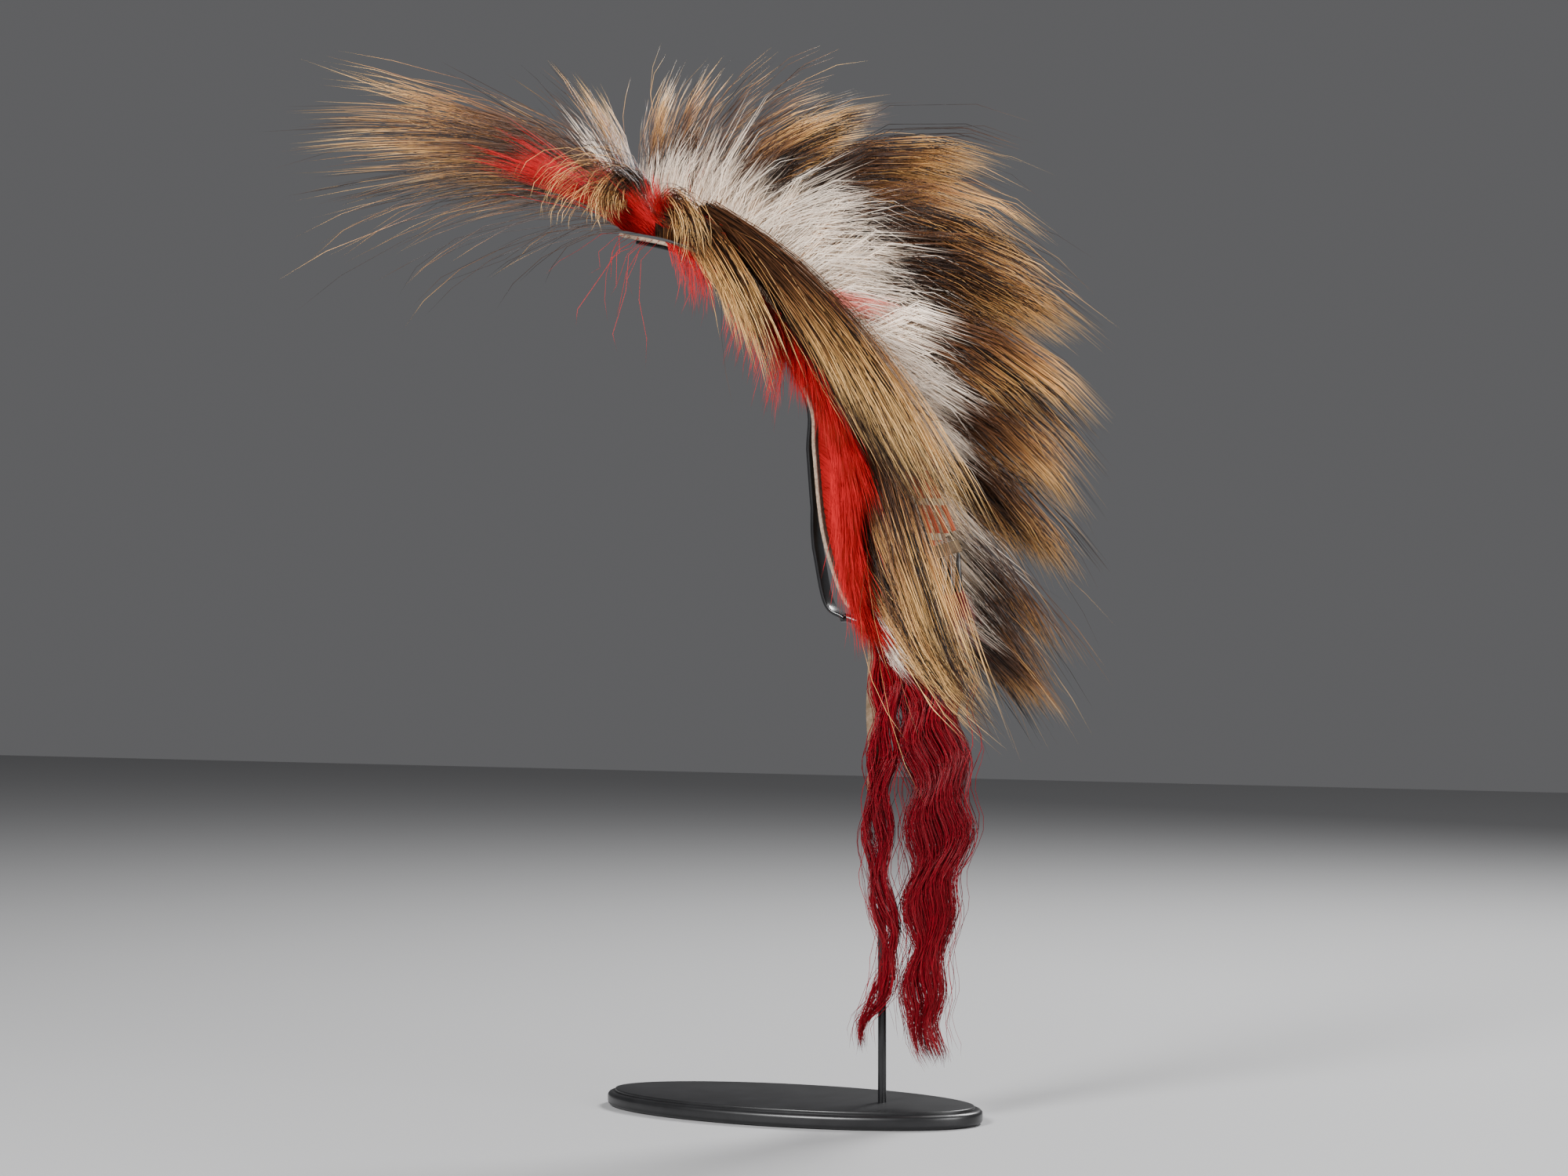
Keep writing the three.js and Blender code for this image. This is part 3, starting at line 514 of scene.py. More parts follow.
def strand_group():
    """Each strand's own place along its length and its own lightness, from its UV column."""
    number = "NodeSocketFloat"
    group, given, out = new_group(
        "Strand shade",
        [("Band shift", number, 0.15), ("Light spread", number, 0.4)],
        [("Along", number), ("Light", number), ("Chance", number)],
    )
    uv = group.nodes.new("ShaderNodeUVMap")
    uv.uv_map = "OFBake"
    split = group.nodes.new("ShaderNodeSeparateXYZ")
    group.links.new(uv.outputs[0], split.inputs[0])
    column = math_node(group, "FLOOR", math_node(group, "MULTIPLY", split.outputs[0], COLUMNS))
    lock = math_node(group, "FLOOR", math_node(group, "DIVIDE", column, LOCK_COLUMNS))

    def chance(of, seed):
        noise = group.nodes.new("ShaderNodeTexWhiteNoise")
        noise.noise_dimensions = "1D"
        group.links.new(math_node(group, "ADD", of, seed), noise.inputs["W"])
        return noise.outputs["Value"]

    chances = []
    for seed, lock_share in ((0.0, 0.5), (311.5, 0.45), (727.5, 0.62)):
        of_lock = math_node(group, "MULTIPLY", chance(lock, seed + 0.25), lock_share)
        own = math_node(group, "MULTIPLY", chance(column, seed), 1 - lock_share)
        chances.append(math_node(group, "ADD", of_lock, own))
    shift = math_node(group, "SUBTRACT", chances[0], 0.5)
    shift = math_node(group, "MULTIPLY", shift, given.outputs["Band shift"])
    group.links.new(math_node(group, "ADD", split.outputs[1], shift), out.inputs["Along"])
    light = math_node(group, "SUBTRACT", chances[1], 0.5)
    light = math_node(group, "MULTIPLY", light, given.outputs["Light spread"])
    group.links.new(math_node(group, "ADD", light, 1.0), out.inputs["Light"])
    group.links.new(chances[2], out.inputs["Chance"])
    return group


STRAND = strand_group()


def new_material(name, roughness, metallic=0.0, specular=0.5):
    material = bpy.data.materials.new(name)
    material.use_nodes = True
    shader = material.node_tree.nodes["Principled BSDF"]
    shader.inputs["Roughness"].default_value = roughness
    shader.inputs["Metallic"].default_value = metallic
    shader.inputs["Specular IOR Level"].default_value = specular
    return material, material.node_tree, shader


def ramp_node(tree, stops, factor):
    ramp = tree.nodes.new("ShaderNodeValToRGB")
    elements = ramp.color_ramp.elements
    while len(elements) < len(stops):
        elements.new(0.5)
    for element, (position, colour) in zip(elements, stops):
        element.position = position
        element.color = (*colour, 1)
    tree.links.new(factor, ramp.inputs[0])
    return ramp.outputs[0]


def hair_material(name, stops, shift, spread, roughness=0.5, specular=0.3, other=None):
    """Strands coloured along their length. other: a second set of stops and its share of strands."""
    material, tree, shader = new_material(name, roughness, specular=specular)
    shade = tree.nodes.new("ShaderNodeGroup")
    shade.node_tree = STRAND
    shade.inputs["Band shift"].default_value = shift
    shade.inputs["Light spread"].default_value = spread
    colour = ramp_node(tree, stops, shade.outputs["Along"])
    if other:
        second = ramp_node(tree, other[0], shade.outputs["Along"])
        mix = tree.nodes.new("ShaderNodeMix")
        mix.data_type = "RGBA"
        pick = math_node(tree, "LESS_THAN", shade.outputs["Chance"], other[1])
        tree.links.new(pick, mix.inputs["Factor"])
        tree.links.new(colour, mix.inputs["A"])
        tree.links.new(second, mix.inputs["B"])
        colour = mix.outputs["Result"]
    scale = tree.nodes.new("ShaderNodeVectorMath")
    scale.operation = "SCALE"
    tree.links.new(colour, scale.inputs[0])
    tree.links.new(shade.outputs["Light"], scale.inputs["Scale"])
    tree.links.new(scale.outputs[0], shader.inputs["Base Color"])
    return material


CREAM = (0.92, 0.74, 0.57)
WHITE = (0.97, 0.82, 0.68)
BROWN = (0.085, 0.033, 0.014)
DARK = (0.016, 0.007, 0.004)
TAN = (0.33, 0.145, 0.05)
GOLD = (0.78, 0.42, 0.135)
PALE = (0.93, 0.61, 0.27)
SCARLET = (0.56, 0.012, 0.016)
ORANGE_RED = (0.74, 0.07, 0.045)
PINK = (0.9, 0.3, 0.24)
WINE = (0.14, 0.002, 0.007)

far_guard = hair_material(
    "Far guard hair",
    [(0.0, WHITE), (0.43, WHITE), (0.5, BROWN), (0.6, BROWN), (0.69, TAN), (0.8, GOLD), (1.0, PALE)],
    0.14, 1.4, roughness=0.36,
    other=([(0.0, WHITE), (0.38, CREAM), (0.46, DARK), (0.82, DARK), (0.94, BROWN), (1.0, TAN)], 0.42),
)
near_guard = hair_material(
    "Near guard hair",
    [(0.0, TAN), (0.06, BROWN), (0.48, BROWN), (0.58, TAN), (0.69, GOLD), (1.0, PALE)],
    0.26, 1.7, roughness=0.36,
    other=([(0.0, BROWN), (0.1, DARK), (0.8, DARK), (0.9, BROWN), (1.0, TAN)], 0.48),
)
front_guard = hair_material(
    "Front guard hair",
    [(0.0, CREAM), (0.06, TAN), (0.2, BROWN), (0.52, BROWN), (0.64, TAN), (0.8, GOLD), (1.0, PALE)],
    0.26, 1.4, roughness=0.36,
    other=([(0.0, TAN), (0.2, BROWN), (0.78, DARK), (0.9, BROWN), (1.0, TAN)], 0.47),
)
wool = hair_material(
    "White underhair", [(0.0, CREAM), (0.4, WHITE), (1.0, WHITE)], 0.1, 0.45, roughness=0.8, specular=0.1,
)
stained = hair_material(
    "Stained underhair", [(0.0, PINK), (0.7, PINK), (1.0, CREAM)], 0.1, 0.3, roughness=0.8, specular=0.1,
)
red_hair = hair_material(
    "Red hair",
    [(0.0, (0.36, 0.006, 0.008)), (0.4, SCARLET), (0.85, SCARLET), (1.0, ORANGE_RED)],
    0.2, 0.7, roughness=0.6, specular=0.15,
)
tail_hair = hair_material(
    "Tail hair",
    [(0.0, (0.36, 0.004, 0.01)), (0.2, (0.2, 0.002, 0.008)), (0.5, WINE), (1.0, (0.2, 0.002, 0.008))],
    0.1, 1.5, roughness=0.32, specular=0.22,
)
fluff_hair = hair_material(
    "Dyed fluff", [(0.0, (0.3, 0.03, 0.04)), (1.0, (0.42, 0.09, 0.1))], 0.1, 0.5, roughness=0.8,
)


# Plain pieces

def finish_bmesh(bm, name, smooth_angle=40):
    bmesh.ops.recalc_face_normals(bm, faces=bm.faces)
    mesh = bpy.data.meshes.new(name)
    bm.to_mesh(mesh)
    bm.free()
    mesh.transform(Matrix.Scale(MM, 4))
    mesh.shade_smooth()
    mesh.set_sharp_from_angle(angle=math.radians(smooth_angle))
    return mesh


def sweep(bm, section, frames):
    """Carries a closed section along frames, with both ends closed."""
    ring = [bm.verts.new((u, v, 0)) for u, v in section]
    edges = list(bm.faces.new(ring).edges)
    bmesh.ops.transform(bm, matrix=frames[0], verts=ring)
    for a, b in zip(frames, frames[1:]):
        out = bmesh.ops.extrude_edge_only(bm, edges=edges)["geom"]
        new = {g for g in out if isinstance(g, bmesh.types.BMVert)}
        edges = [
            g for g in out
            if isinstance(g, bmesh.types.BMEdge) and all(v in new for v in g.verts)
        ]
        bmesh.ops.transform(bm, matrix=b @ a.inverted(), verts=list(new))
    bmesh.ops.holes_fill(bm, edges=edges, sides=0)


def frames_along(points, side=(0, 1, 0), sizes=None):
    """Frames at the points of a line: local Z ahead, local X nearest to side, scaled by sizes."""
    p = np.asarray(points, float)
    ahead = np.gradient(p, axis=0)
    frames = []
    for i, (point, way) in enumerate(zip(p, ahead)):
        z = Vector(way).normalized()
        x = Vector(side)
        x = (x - z * x.dot(z)).normalized()
        y = z.cross(x)
        scale = 1.0 if sizes is None else sizes[i]
        frame = Matrix((x * scale, y * scale, z)).transposed().to_4x4()
        frame.translation = Vector(point)
        frames.append(frame)
    return frames


def rounded_section(width, height, corner, steps=3):
    points = []
    for cx, cy, start in ((1, 1, 0), (-1, 1, 90), (-1, -1, 180), (1, -1, 270)):
        for k in range(steps + 1):
            turn = math.radians(start + 90 * k / steps)
            points.append((
                cx * (width / 2 - corner) + corner * math.cos(turn),
                cy * (height / 2 - corner) + corner * math.sin(turn),
            ))
    return points


def circle_section(diameter, sides):
    turns = [2 * math.pi * k / sides for k in range(sides)]
    return [(diameter / 2 * math.cos(t), diameter / 2 * math.sin(t)) for t in turns]


def board_mesh():
    """Oval board: a slab with a rounded edge, and a raised top face inside its ledge."""
    bm = bmesh.new()
    made = bmesh.ops.create_circle(bm, cap_ends=True, segments=160, radius=1)
    oval = Matrix.Diagonal((BOARD["length"] / 2, BOARD["width"] / 2, 1, 1))
    bmesh.ops.transform(bm, matrix=oval, verts=made["verts"])

    def raise_face(face, height):
        out = bmesh.ops.extrude_face_region(bm, geom=[face])["geom"]
        new = [g for g in out if isinstance(g, bmesh.types.BMVert)]
        bmesh.ops.translate(bm, vec=(0, 0, height), verts=new)
        return next(g for g in out if isinstance(g, bmesh.types.BMFace))

    foot = bm.faces[:][0]
    slab = raise_face(foot, BOARD["thickness"] - LEDGE["drop"])
    rim = list(slab.edges)
    bmesh.ops.inset_region(bm, faces=[slab], thickness=LEDGE["width"])
    crown = raise_face(slab, LEDGE["drop"])
    top_rim = list(crown.edges)
    bmesh.ops.bevel(bm, geom=rim, offset=LEDGE["edge_round"], segments=5, profile=0.5, affect="EDGES")
    bmesh.ops.bevel(bm, geom=top_rim, offset=LEDGE["top_round"], segments=3, profile=0.5, affect="EDGES")
    bottom = [e for e in bm.edges if all(abs(v.co.z) < 1e-4 for v in e.verts)]
    bmesh.ops.bevel(bm, geom=bottom, offset=LEDGE["edge_round"], segments=5, profile=0.5, affect="EDGES")
    return finish_bmesh(bm, "board")


def armature_mesh():
    """Rod, its bent neck and the cradle strap."""
    bm = bmesh.new()
    neck = [
        (ROD["offset"] - NECK["reach"] * reach, 0, NECK["height"] - NECK["drop"] * drop)
        for reach, drop in NECK_LINE
    ]
    line, _ = catmull_rom(neck, 8)
    rod = [(ROD["offset"], 0, z) for z in (*ROD["rings"], ROD["foot"])]
    sweep(bm, circle_section(ROD["diameter"], 24), frames_along(np.vstack([line, rod])))
    shares = np.linspace(CRADLE_LINE[0][0], CRADLE_LINE[-1][0], 64)
    bow = read_table(CRADLE_LINE, shares)[0] * CRADLE["bow"]
    under = STRIP["thickness"] / 2 + GAP + CRADLE["thickness"] / 2
    strap = on_strip(shares, -under - bow, 0)
    rest = 8  # points of the strap that its smooth join to the neck replaces
    join, _ = catmull_rom(np.vstack([strap[-rest], strap[-1], neck[1]]), 8)
    path = np.vstack([strap[:-rest], join])
    section = rounded_section(CRADLE["width"], CRADLE["thickness"], corner=0.9)
    sweep(bm, section, frames_along(path))
    return finish_bmesh(bm, "armature")


def strip_mesh():
    """The woven hide strip."""
    bm = bmesh.new()
    path = on_strip(np.linspace(0, 1, 120), 0, 0)
    section = rounded_section(STRIP["width"], STRIP["thickness"], corner=1.0)
    sweep(bm, section, frames_along(path))
    return finish_bmesh(bm, "strip")


def noise_node(tree, scale, detail=4.0, roughness=0.55):
    where = tree.nodes.new("ShaderNodeTexCoord").outputs["Object"]
    noise = tree.nodes.new("ShaderNodeTexNoise")
    noise.inputs["Scale"].default_value = scale
    noise.inputs["Detail"].default_value = detail
    noise.inputs["Roughness"].default_value = roughness
    tree.links.new(where, noise.inputs["Vector"])
    return noise.outputs["Fac"]


def bump(tree, shader, height, strength, distance):
    node = tree.nodes.new("ShaderNodeBump")
    node.inputs["Strength"].default_value = strength
    node.inputs["Distance"].default_value = distance
    tree.links.new(height, node.inputs["Height"])
    tree.links.new(node.outputs["Normal"], shader.inputs["Normal"])


def black_paint(name, low, high, roughness):
    material, tree, shader = new_material(name, roughness)
    fac = noise_node(tree, 60)
    tree.links.new(ramp_node(tree, [(0.3, low), (0.7, high)], fac), shader.inputs["Base Color"])
    bump(tree, shader, noise_node(tree, 900, 2), 0.05, 0.0002)
    return material


def fibre_material(name, low, high, scale, strength, roughness=0.9):
    material, tree, shader = new_material(name, roughness, specular=0.2)
    fac = noise_node(tree, scale, 6, 0.7)
    tree.links.new(ramp_node(tree, [(0.35, low), (0.65, high)], fac), shader.inputs["Base Color"])
    bump(tree, shader, noise_node(tree, scale * 2.5, 5), strength, 0.0006)
    return material


board_paint = black_paint("Board paint", (0.006, 0.006, 0.0065), (0.011, 0.011, 0.012), 0.34)
rod_paint = black_paint("Rod paint", (0.005, 0.005, 0.0055), (0.01, 0.01, 0.011), 0.25)
woven = fibre_material("Woven strip", (0.2, 0.13, 0.09), (0.42, 0.32, 0.24), 420, 0.8)
suede = fibre_material("Suede", (0.12, 0.078, 0.045), (0.22, 0.155, 0.1), 260, 0.5)

place("Board", board_mesh(), board_paint, ["stand_base"])
place("Rod and cradle", armature_mesh(), rod_paint, ["stand_armature"])
place("Woven strip", strip_mesh(), woven, ["roach_base"])


def strap_mesh():
    """Flat strap that hangs beside the rod, with a slight wave."""
    bm = bmesh.new()
    top = on_strip(1, -STRIP["thickness"] / 2, 0)
    fall = np.linspace(0, STRAP["length"], STRAP["steps"])
    x = top[0] + STRAP["wave"] * np.sin(fall / STRAP["length"] * 9.5)
    path = np.stack([x, np.full(STRAP["steps"], -STRAP["offset"]), top[2] - GAP - fall], 1)
    sizes = 1 + 0.05 * np.sin(fall / 9)
    section = rounded_section(STRAP["width"], STRAP["thickness"], corner=0.7)
    sweep(bm, section, frames_along(path, side=(1, 0, 0), sizes=sizes))
    return finish_bmesh(bm, "strap")


place("Hide strap", strap_mesh(), suede, ["hide_strap"])

# Quill-wrapped slats, the tab and the cones

strip_length = np.linalg.norm(np.diff(strip_xz, axis=0), axis=1).sum()


def slat_line(i, shares):
    """Points of a slat's middle line. The slats fan out a little, and end in line."""
    place_of = i - (SLAT["count"] - 1) / 2
    root = on_strip([SLAT["start"] + place_of * SLAT["pitch"] / strip_length], SLAT["lift"], 0)
    rise = [[a - SLAT_TURN["rise"] * place_of] for a in SLAT_RISE]
    lean = [[SLAT_TURN["lean"] * place_of]] * 3
    return grow(root, [SLAT["length"] - place_of * SLAT["pitch"]], rise, lean, -1, shares)[0]


def quill_mesh():
    bm = bmesh.new()
    shares = np.linspace(0, 1, 41)
    section = rounded_section(SLAT["width"], SLAT["thickness"], corner=0.45, steps=2)
    for i in range(SLAT["count"]):
        line = slat_line(i, shares)
        middle_way = np.gradient(line, axis=0)[len(shares) // 2]
        side = (-middle_way[2], 0, middle_way[0])
        sweep(bm, section, frames_along(line, side))
    return finish_bmesh(bm, "quills")


def quill_material():
    """Quill wrapping: fine turns in blocks of orange-red and white."""
    material, tree, shader = new_material("Quillwork", 0.45)
    where = tree.nodes.new("ShaderNodeTexCoord").outputs["Object"]
    split = tree.nodes.new("ShaderNodeSeparateXYZ")
    tree.links.new(where, split.inputs[0])
    height = split.outputs[2]
    block_height = 26 * MM
    turn_height = 1.6 * MM
    blocks = math_node(tree, "FRACT", math_node(tree, "MULTIPLY", height, 1 / block_height))
    turns = math_node(tree, "FRACT", math_node(tree, "MULTIPLY", height, 1 / turn_height))
    colour = ramp_node(tree, [
        (0.0, (0.66, 0.1, 0.04)), (0.58, (0.6, 0.09, 0.04)), (0.6, (0.72, 0.62, 0.45)),
        (0.78, (0.7, 0.6, 0.42)), (0.8, (0.5, 0.06, 0.03)), (1.0, (0.66, 0.12, 0.05)),
    ], blocks)
    tree.links.new(colour, shader.inputs["Base Color"])
    bump(tree, shader, turns, 0.6, 0.0003)
    return material


slat_nodes = [f"quill_slat_{i + 1}" for i in range(SLAT["count"])]
place("Quill slats", quill_mesh(), quill_material(), slat_nodes)

# Where the tab and the cones hang: under the slats' ends, and in line with them
slat_ends = [slat_line(i, [0, 1])[1] for i in range(SLAT["count"])]
slat_end = np.mean(slat_ends, 0)
slat_way = np.array([math.cos(math.radians(SLAT_RISE[2])), 0, math.sin(math.radians(SLAT_RISE[2]))])
slat_side = slat_ends[0] - slat_ends[-1]
slat_side = slat_side - slat_way * slat_side.dot(slat_way)
slat_side /= np.linalg.norm(slat_side)
lowest = max((end - slat_end).dot(slat_way) for end in slat_ends)
tab_start = slat_end + slat_way * (lowest + TAB["gap"])


def tab_mesh():
    bm = bmesh.new()
    line = [tab_start + slat_way * d for d in np.linspace(0, TAB["length"], 5)]
    section = rounded_section(TAB["width"], TAB["thickness"], corner=0.8)
    sweep(bm, section, frames_along(line, slat_side))
    return finish_bmesh(bm, "tab")


def cone_top(i):
    middle = tab_start + slat_way * (TAB["length"] + GAP + CONE["top"] / 2 * slat_way[0])
    return middle + slat_side * (i - (CONE["count"] - 1) / 2) * CONE["pitch"]


def cone_mesh():
    """Rolled cones, open at the mouth and closed where the thong is hidden inside."""
    bm = bmesh.new()
    outer, narrow, length = CONE["mouth"] / 2, CONE["top"] / 2, CONE["length"]
    inner, bottom = outer - CONE["wall"], CONE["hidden"] - length
    axis = 0.05  # nearly on the cone's axis
    profile = [
        (axis, 0), (narrow, -0.1), (outer, -length + 0.4), (outer, -length), (inner, -length),
        (narrow, bottom), (axis, bottom),
    ]
    for i in range(CONE["count"]):
        top = Vector(cone_top(i))
        verts = [bm.verts.new(top + Vector((r, 0, z))) for r, z in profile]
        edges = [bm.edges.new(pair) for pair in zip(verts, verts[1:])]
        bmesh.ops.spin(
            bm, geom=verts + edges, cent=top, axis=(0, 0, 1), angle=2 * math.pi, steps=24,
            use_merge=True,
        )
    bmesh.ops.remove_doubles(bm, verts=bm.verts, dist=0.001)
    return finish_bmesh(bm, "cones")


def metal_material():
    material, tree, shader = new_material("Dark metal", 0.38, metallic=0.9)
    fac = noise_node(tree, 240, 5)
    colour = ramp_node(tree, [(0.35, (0.035, 0.035, 0.038)), (0.7, (0.16, 0.15, 0.14))], fac)
    tree.links.new(colour, shader.inputs["Base Color"])
    return material


place("Hide tab", tab_mesh(), suede, ["hide_tab"])
cone_nodes = [f"metal_cone_{i + 1}" for i in range(CONE["count"])]
place("Metal cones", cone_mesh(), metal_material(), cone_nodes)


def fluff_paths(count):
    """Short loose hair under each cone, with some strands of twice the length."""
    shares = np.linspace(0, 1, 5)
    groups = []
    for i in range(CONE["count"]):
        top = cone_top(i) - [0, 0, CONE["length"] - CONE["hidden"] + GAP]
        root = top + rng.normal(size=(count, 3)) * [0.6, 0.6, 0]
        length = FLUFF_LENGTH * rng.uniform(0.35, 0.95, count) * np.where(rng.random(count) < 0.1, 2, 1)
        rise = [rng.normal(-90, s, count) for s in (4, 22, 30)]
        lean = [rng.normal(0, s, count) for s in (3, 14, 22)]
        groups.append(sway(grow(root, length, rise, lean, -1, shares), shares, 1.6, 2))
    return np.concatenate(groups), 1.0, rng.integers(0, COLUMNS, count * CONE["count"])


fluff_nodes = [f"red_fluff_{i + 1}" for i in range(CONE["count"])]
fluff = strand_mesh("fluff", [(fluff_paths(420), 0.14, 0.5)])
place("Dyed fluff", fluff, fluff_hair, fluff_nodes)

# Rows of hair

# Shares of a hair's length where its path has points
SIX = (0, 0.15, 0.4, 0.65, 0.85, 1)
FIVE = (0, 0.2, 0.5, 0.8, 1)
NINE = np.linspace(0, 1, 9)
NEAR_SIDE, FAR_SIDE = -1, 1
SPLIT = 0.46  # share along the strip where the crown's part of a row meets the back's

far_rows = {"guides": FAR, "side": FAR_SIDE, "shares": SIX, "tuft_spread": (5, 3), "gather": 1.5,
            "lock_spread": (4, 5), "spread": (3, 4), "tuft_pull": (0.4, 0.9), "locks_each": 6,
            "short": (0.55, 0.7), "wave": (1.6, 0.8)}
near_rows = {"side": NEAR_SIDE, "tuft_spread": (3, 3), "spread": (2.5, 3.5), "tuft_pull": (0.1, 0.7),
             "short": (0.75, 0.6), "lock_pull": (0.2, 0.9), "wave": (2.2, 0.9)}
first_bundle = {**near_rows, "guides": NEAR_FIRST, "shares": SIX, "middle": 0.25, "length": (1.0, 0.1),
                "tuft_spread": (2, 2), "spread": (2, 3), "offset": 12, "depth": 4}
long_bundle = {**near_rows, "guides": NEAR_LONG, "shares": NINE, "middle": 0.13, "length": (1.0, 0.06),
               "tuft_spread": (0.8, 1.2), "lock_spread": (1.3, 1.5), "spread": (1.1, 1.6),
               "depth": 4, "locks_each": 8, "offset": 7, "short": (0.88, 0.6)}
last_bundle = {**near_rows, "guides": NEAR_LAST, "shares": SIX, "middle": 0.3, "length": (1.02, 0.08),
               "tuft_spread": (1.5, 2), "lock_spread": (1.5, 2), "spread": (1.4, 2.5), "locks_each": 7}


def strays(guides, side, count, start, end, length=1.06, **more):
    """Single hairs that leave their row."""
    hairs = row_hair(guides, side, count, count, NINE, start, end, length=(length, 0.1), locks_each=1,
                     spread=(7, 7), lock_pull=(0, 0.1), tuft_pull=(0, 0.1), wave=(5, 0.9), **more)
    return hairs, 0.16, 0.5


crown = {**far_rows, "short": (0.85, 0.4), "spread": (4, 5), "wave": (3, 0.9), "tuft_spread": (3, 3)}
place("Far guard hair crown", strand_mesh("far_crown", [
    (row_hair(count=160, tufts=3, start=0.0, end=0.016, band=0.68, length=(0.9, 0.1), **crown), 0.22, 0.4),
    (row_hair(count=160, tufts=4, start=0.048, end=0.1, band=0.8, **crown), 0.25, 0.4),
    (row_hair(count=700, tufts=9, start=0.1, end=0.21, band=0.85, length=(0.98, 0.13), **crown), 0.27, 0.4),
    (row_hair(count=2200, tufts=12, start=0.19, end=SPLIT, **far_rows), 0.32, 0.4),
    strays(FAR, FAR_SIDE, 110, 0.03, SPLIT),
]), far_guard, ["guard_hair_far_crown"])
place("Far guard hair back", strand_mesh("far_back", [
    (row_hair(count=1800, tufts=9, start=SPLIT, end=0.72, **far_rows), 0.32, 0.4),
    (row_hair(count=1200, tufts=7, start=0.72, end=0.98, band=0.85, **far_rows), 0.32, 0.4),
    strays(FAR, FAR_SIDE, 110, SPLIT, 0.95),
]), far_guard, ["guard_hair_far_back"])
place("Near guard hair crown", strand_mesh("near_crown", [
    (row_hair(count=900, tufts=5, start=0.08, end=0.134, **first_bundle), 0.32, 0.4),
    (row_hair(count=1250, tufts=7, start=0.135, end=0.262, **long_bundle), 0.33, 0.4),
    (row_hair(TIED, NEAR_SIDE, 230, 4, NINE, 0.03, 0.055, lift=34, offset=16, depth=2, middle=0.5,
              spread=(9, 8), tuft_spread=(7, 5), short=(0.8, 0.5), lock_pull=(0.1, 0.6),
              wave=(3, 0.9)), 0.27, 0.4),
    (row_hair(TIED_NEXT, NEAR_SIDE, 190, 4, NINE, 0.082, 0.108, offset=10, depth=3, middle=0.45,
              spread=(8, 6), tuft_spread=(7, 4), short=(0.9, 0.5), lock_pull=(0.1, 0.6),
              wave=(3, 0.9)), 0.27, 0.4),
    (row_hair(SWEPT, NEAR_SIDE, 90, 6, NINE, 0.02, 0.06, offset=9, middle=0.45, spread=(11, 8),
              tuft_spread=(10, 6), short=(0.8, 0.5), lock_pull=(0.1, 0.6), wave=(4, 0.9)), 0.26, 0.4),
    strays(NEAR_FIRST, NEAR_SIDE, 12, 0.08, 0.134, middle=0.25),
    strays(NEAR_LONG, NEAR_SIDE, 14, 0.135, 0.275, length=0.6, middle=0.2),
]), near_guard, ["guard_hair_near_crown"])
place("Near guard hair back", strand_mesh("near_back", [
    (row_hair(count=1500, tufts=7, start=0.53, end=0.74, **last_bundle), 0.33, 0.4),
    (row_hair(count=420, tufts=6, start=0.74, end=0.97, **last_bundle), 0.32, 0.4),
    strays(NEAR_LAST, NEAR_SIDE, 16, 0.53, 0.75, middle=0.3),
]), near_guard, ["guard_hair_near_back"])

# Two small brown tufts between the crown's white hair
place("Brown tufts", strand_mesh("brown_tufts", [
    (row_hair(count=110, tufts=1, start=0.024, end=0.034, **far_rows), 0.25, 0.4),
    (row_hair(count=100, tufts=1, start=0.063, end=0.076, **far_rows), 0.25, 0.4),
]), front_guard)

tuft = {"shares": SIX, "fan": (0.002, 0.085), "spread": (3, 4), "tuft_spread": (3, 3), "wave": (3, 0.8),
        "short": (0.7, 0.5), "length": (1.04, 0.1), "gather": 1.5}
loose = {"spread": (5, 5), "locks_each": 1, "lock_pull": (0, 0.2), "wave": (9, 0.8)}
for name, side, wisps in (("near", NEAR_SIDE, 40), ("far", FAR_SIDE, 14)):
    place(f"Front guard hair {name}", strand_mesh(f"front_{name}", [
        (row_hair(FRONT, side, 400, 9, **tuft), 0.28, 0.45),
        (row_hair(UPPER, side, 45, 2, **tuft), 0.26, 0.45),
        (row_hair(WISPS, side, wisps, wisps, **{**tuft, **loose}), 0.22, 0.6),
    ]), front_guard, [f"guard_hair_front_{name}"])

place("White underhair", strand_mesh("underhair", [
    (row_hair(FAR, FAR_SIDE, 3250, 39, FIVE, 0.042, 0.97, offset=3.5, depth=3.5, length=(0.54, 0.12),
              spread=(8, 9), lock_pull=(0.1, 0.6), tuft_pull=(0.1, 0.5), wave=(1.6, 1.6),
              shift=(-6, -4)), 0.34, 0.35),
    (row_hair(NEAR_LAST, NEAR_SIDE, 260, 6, FIVE, 0.92, 0.995, offset=9, length=(0.8, 0.15), spread=(8, 9),
              middle=0.3, wave=(1.6, 1.6)), 0.3, 0.35),
]), wool)
place("Stained underhair", strand_mesh("stained", [
    (row_hair(FAR, FAR_SIDE, 110, 2, FIVE, 0.4, 0.43, offset=-1, length=(0.42, 0.08), spread=(3, 4),
              shift=(-9, -9)), 0.34, 0.4),
]), stained)

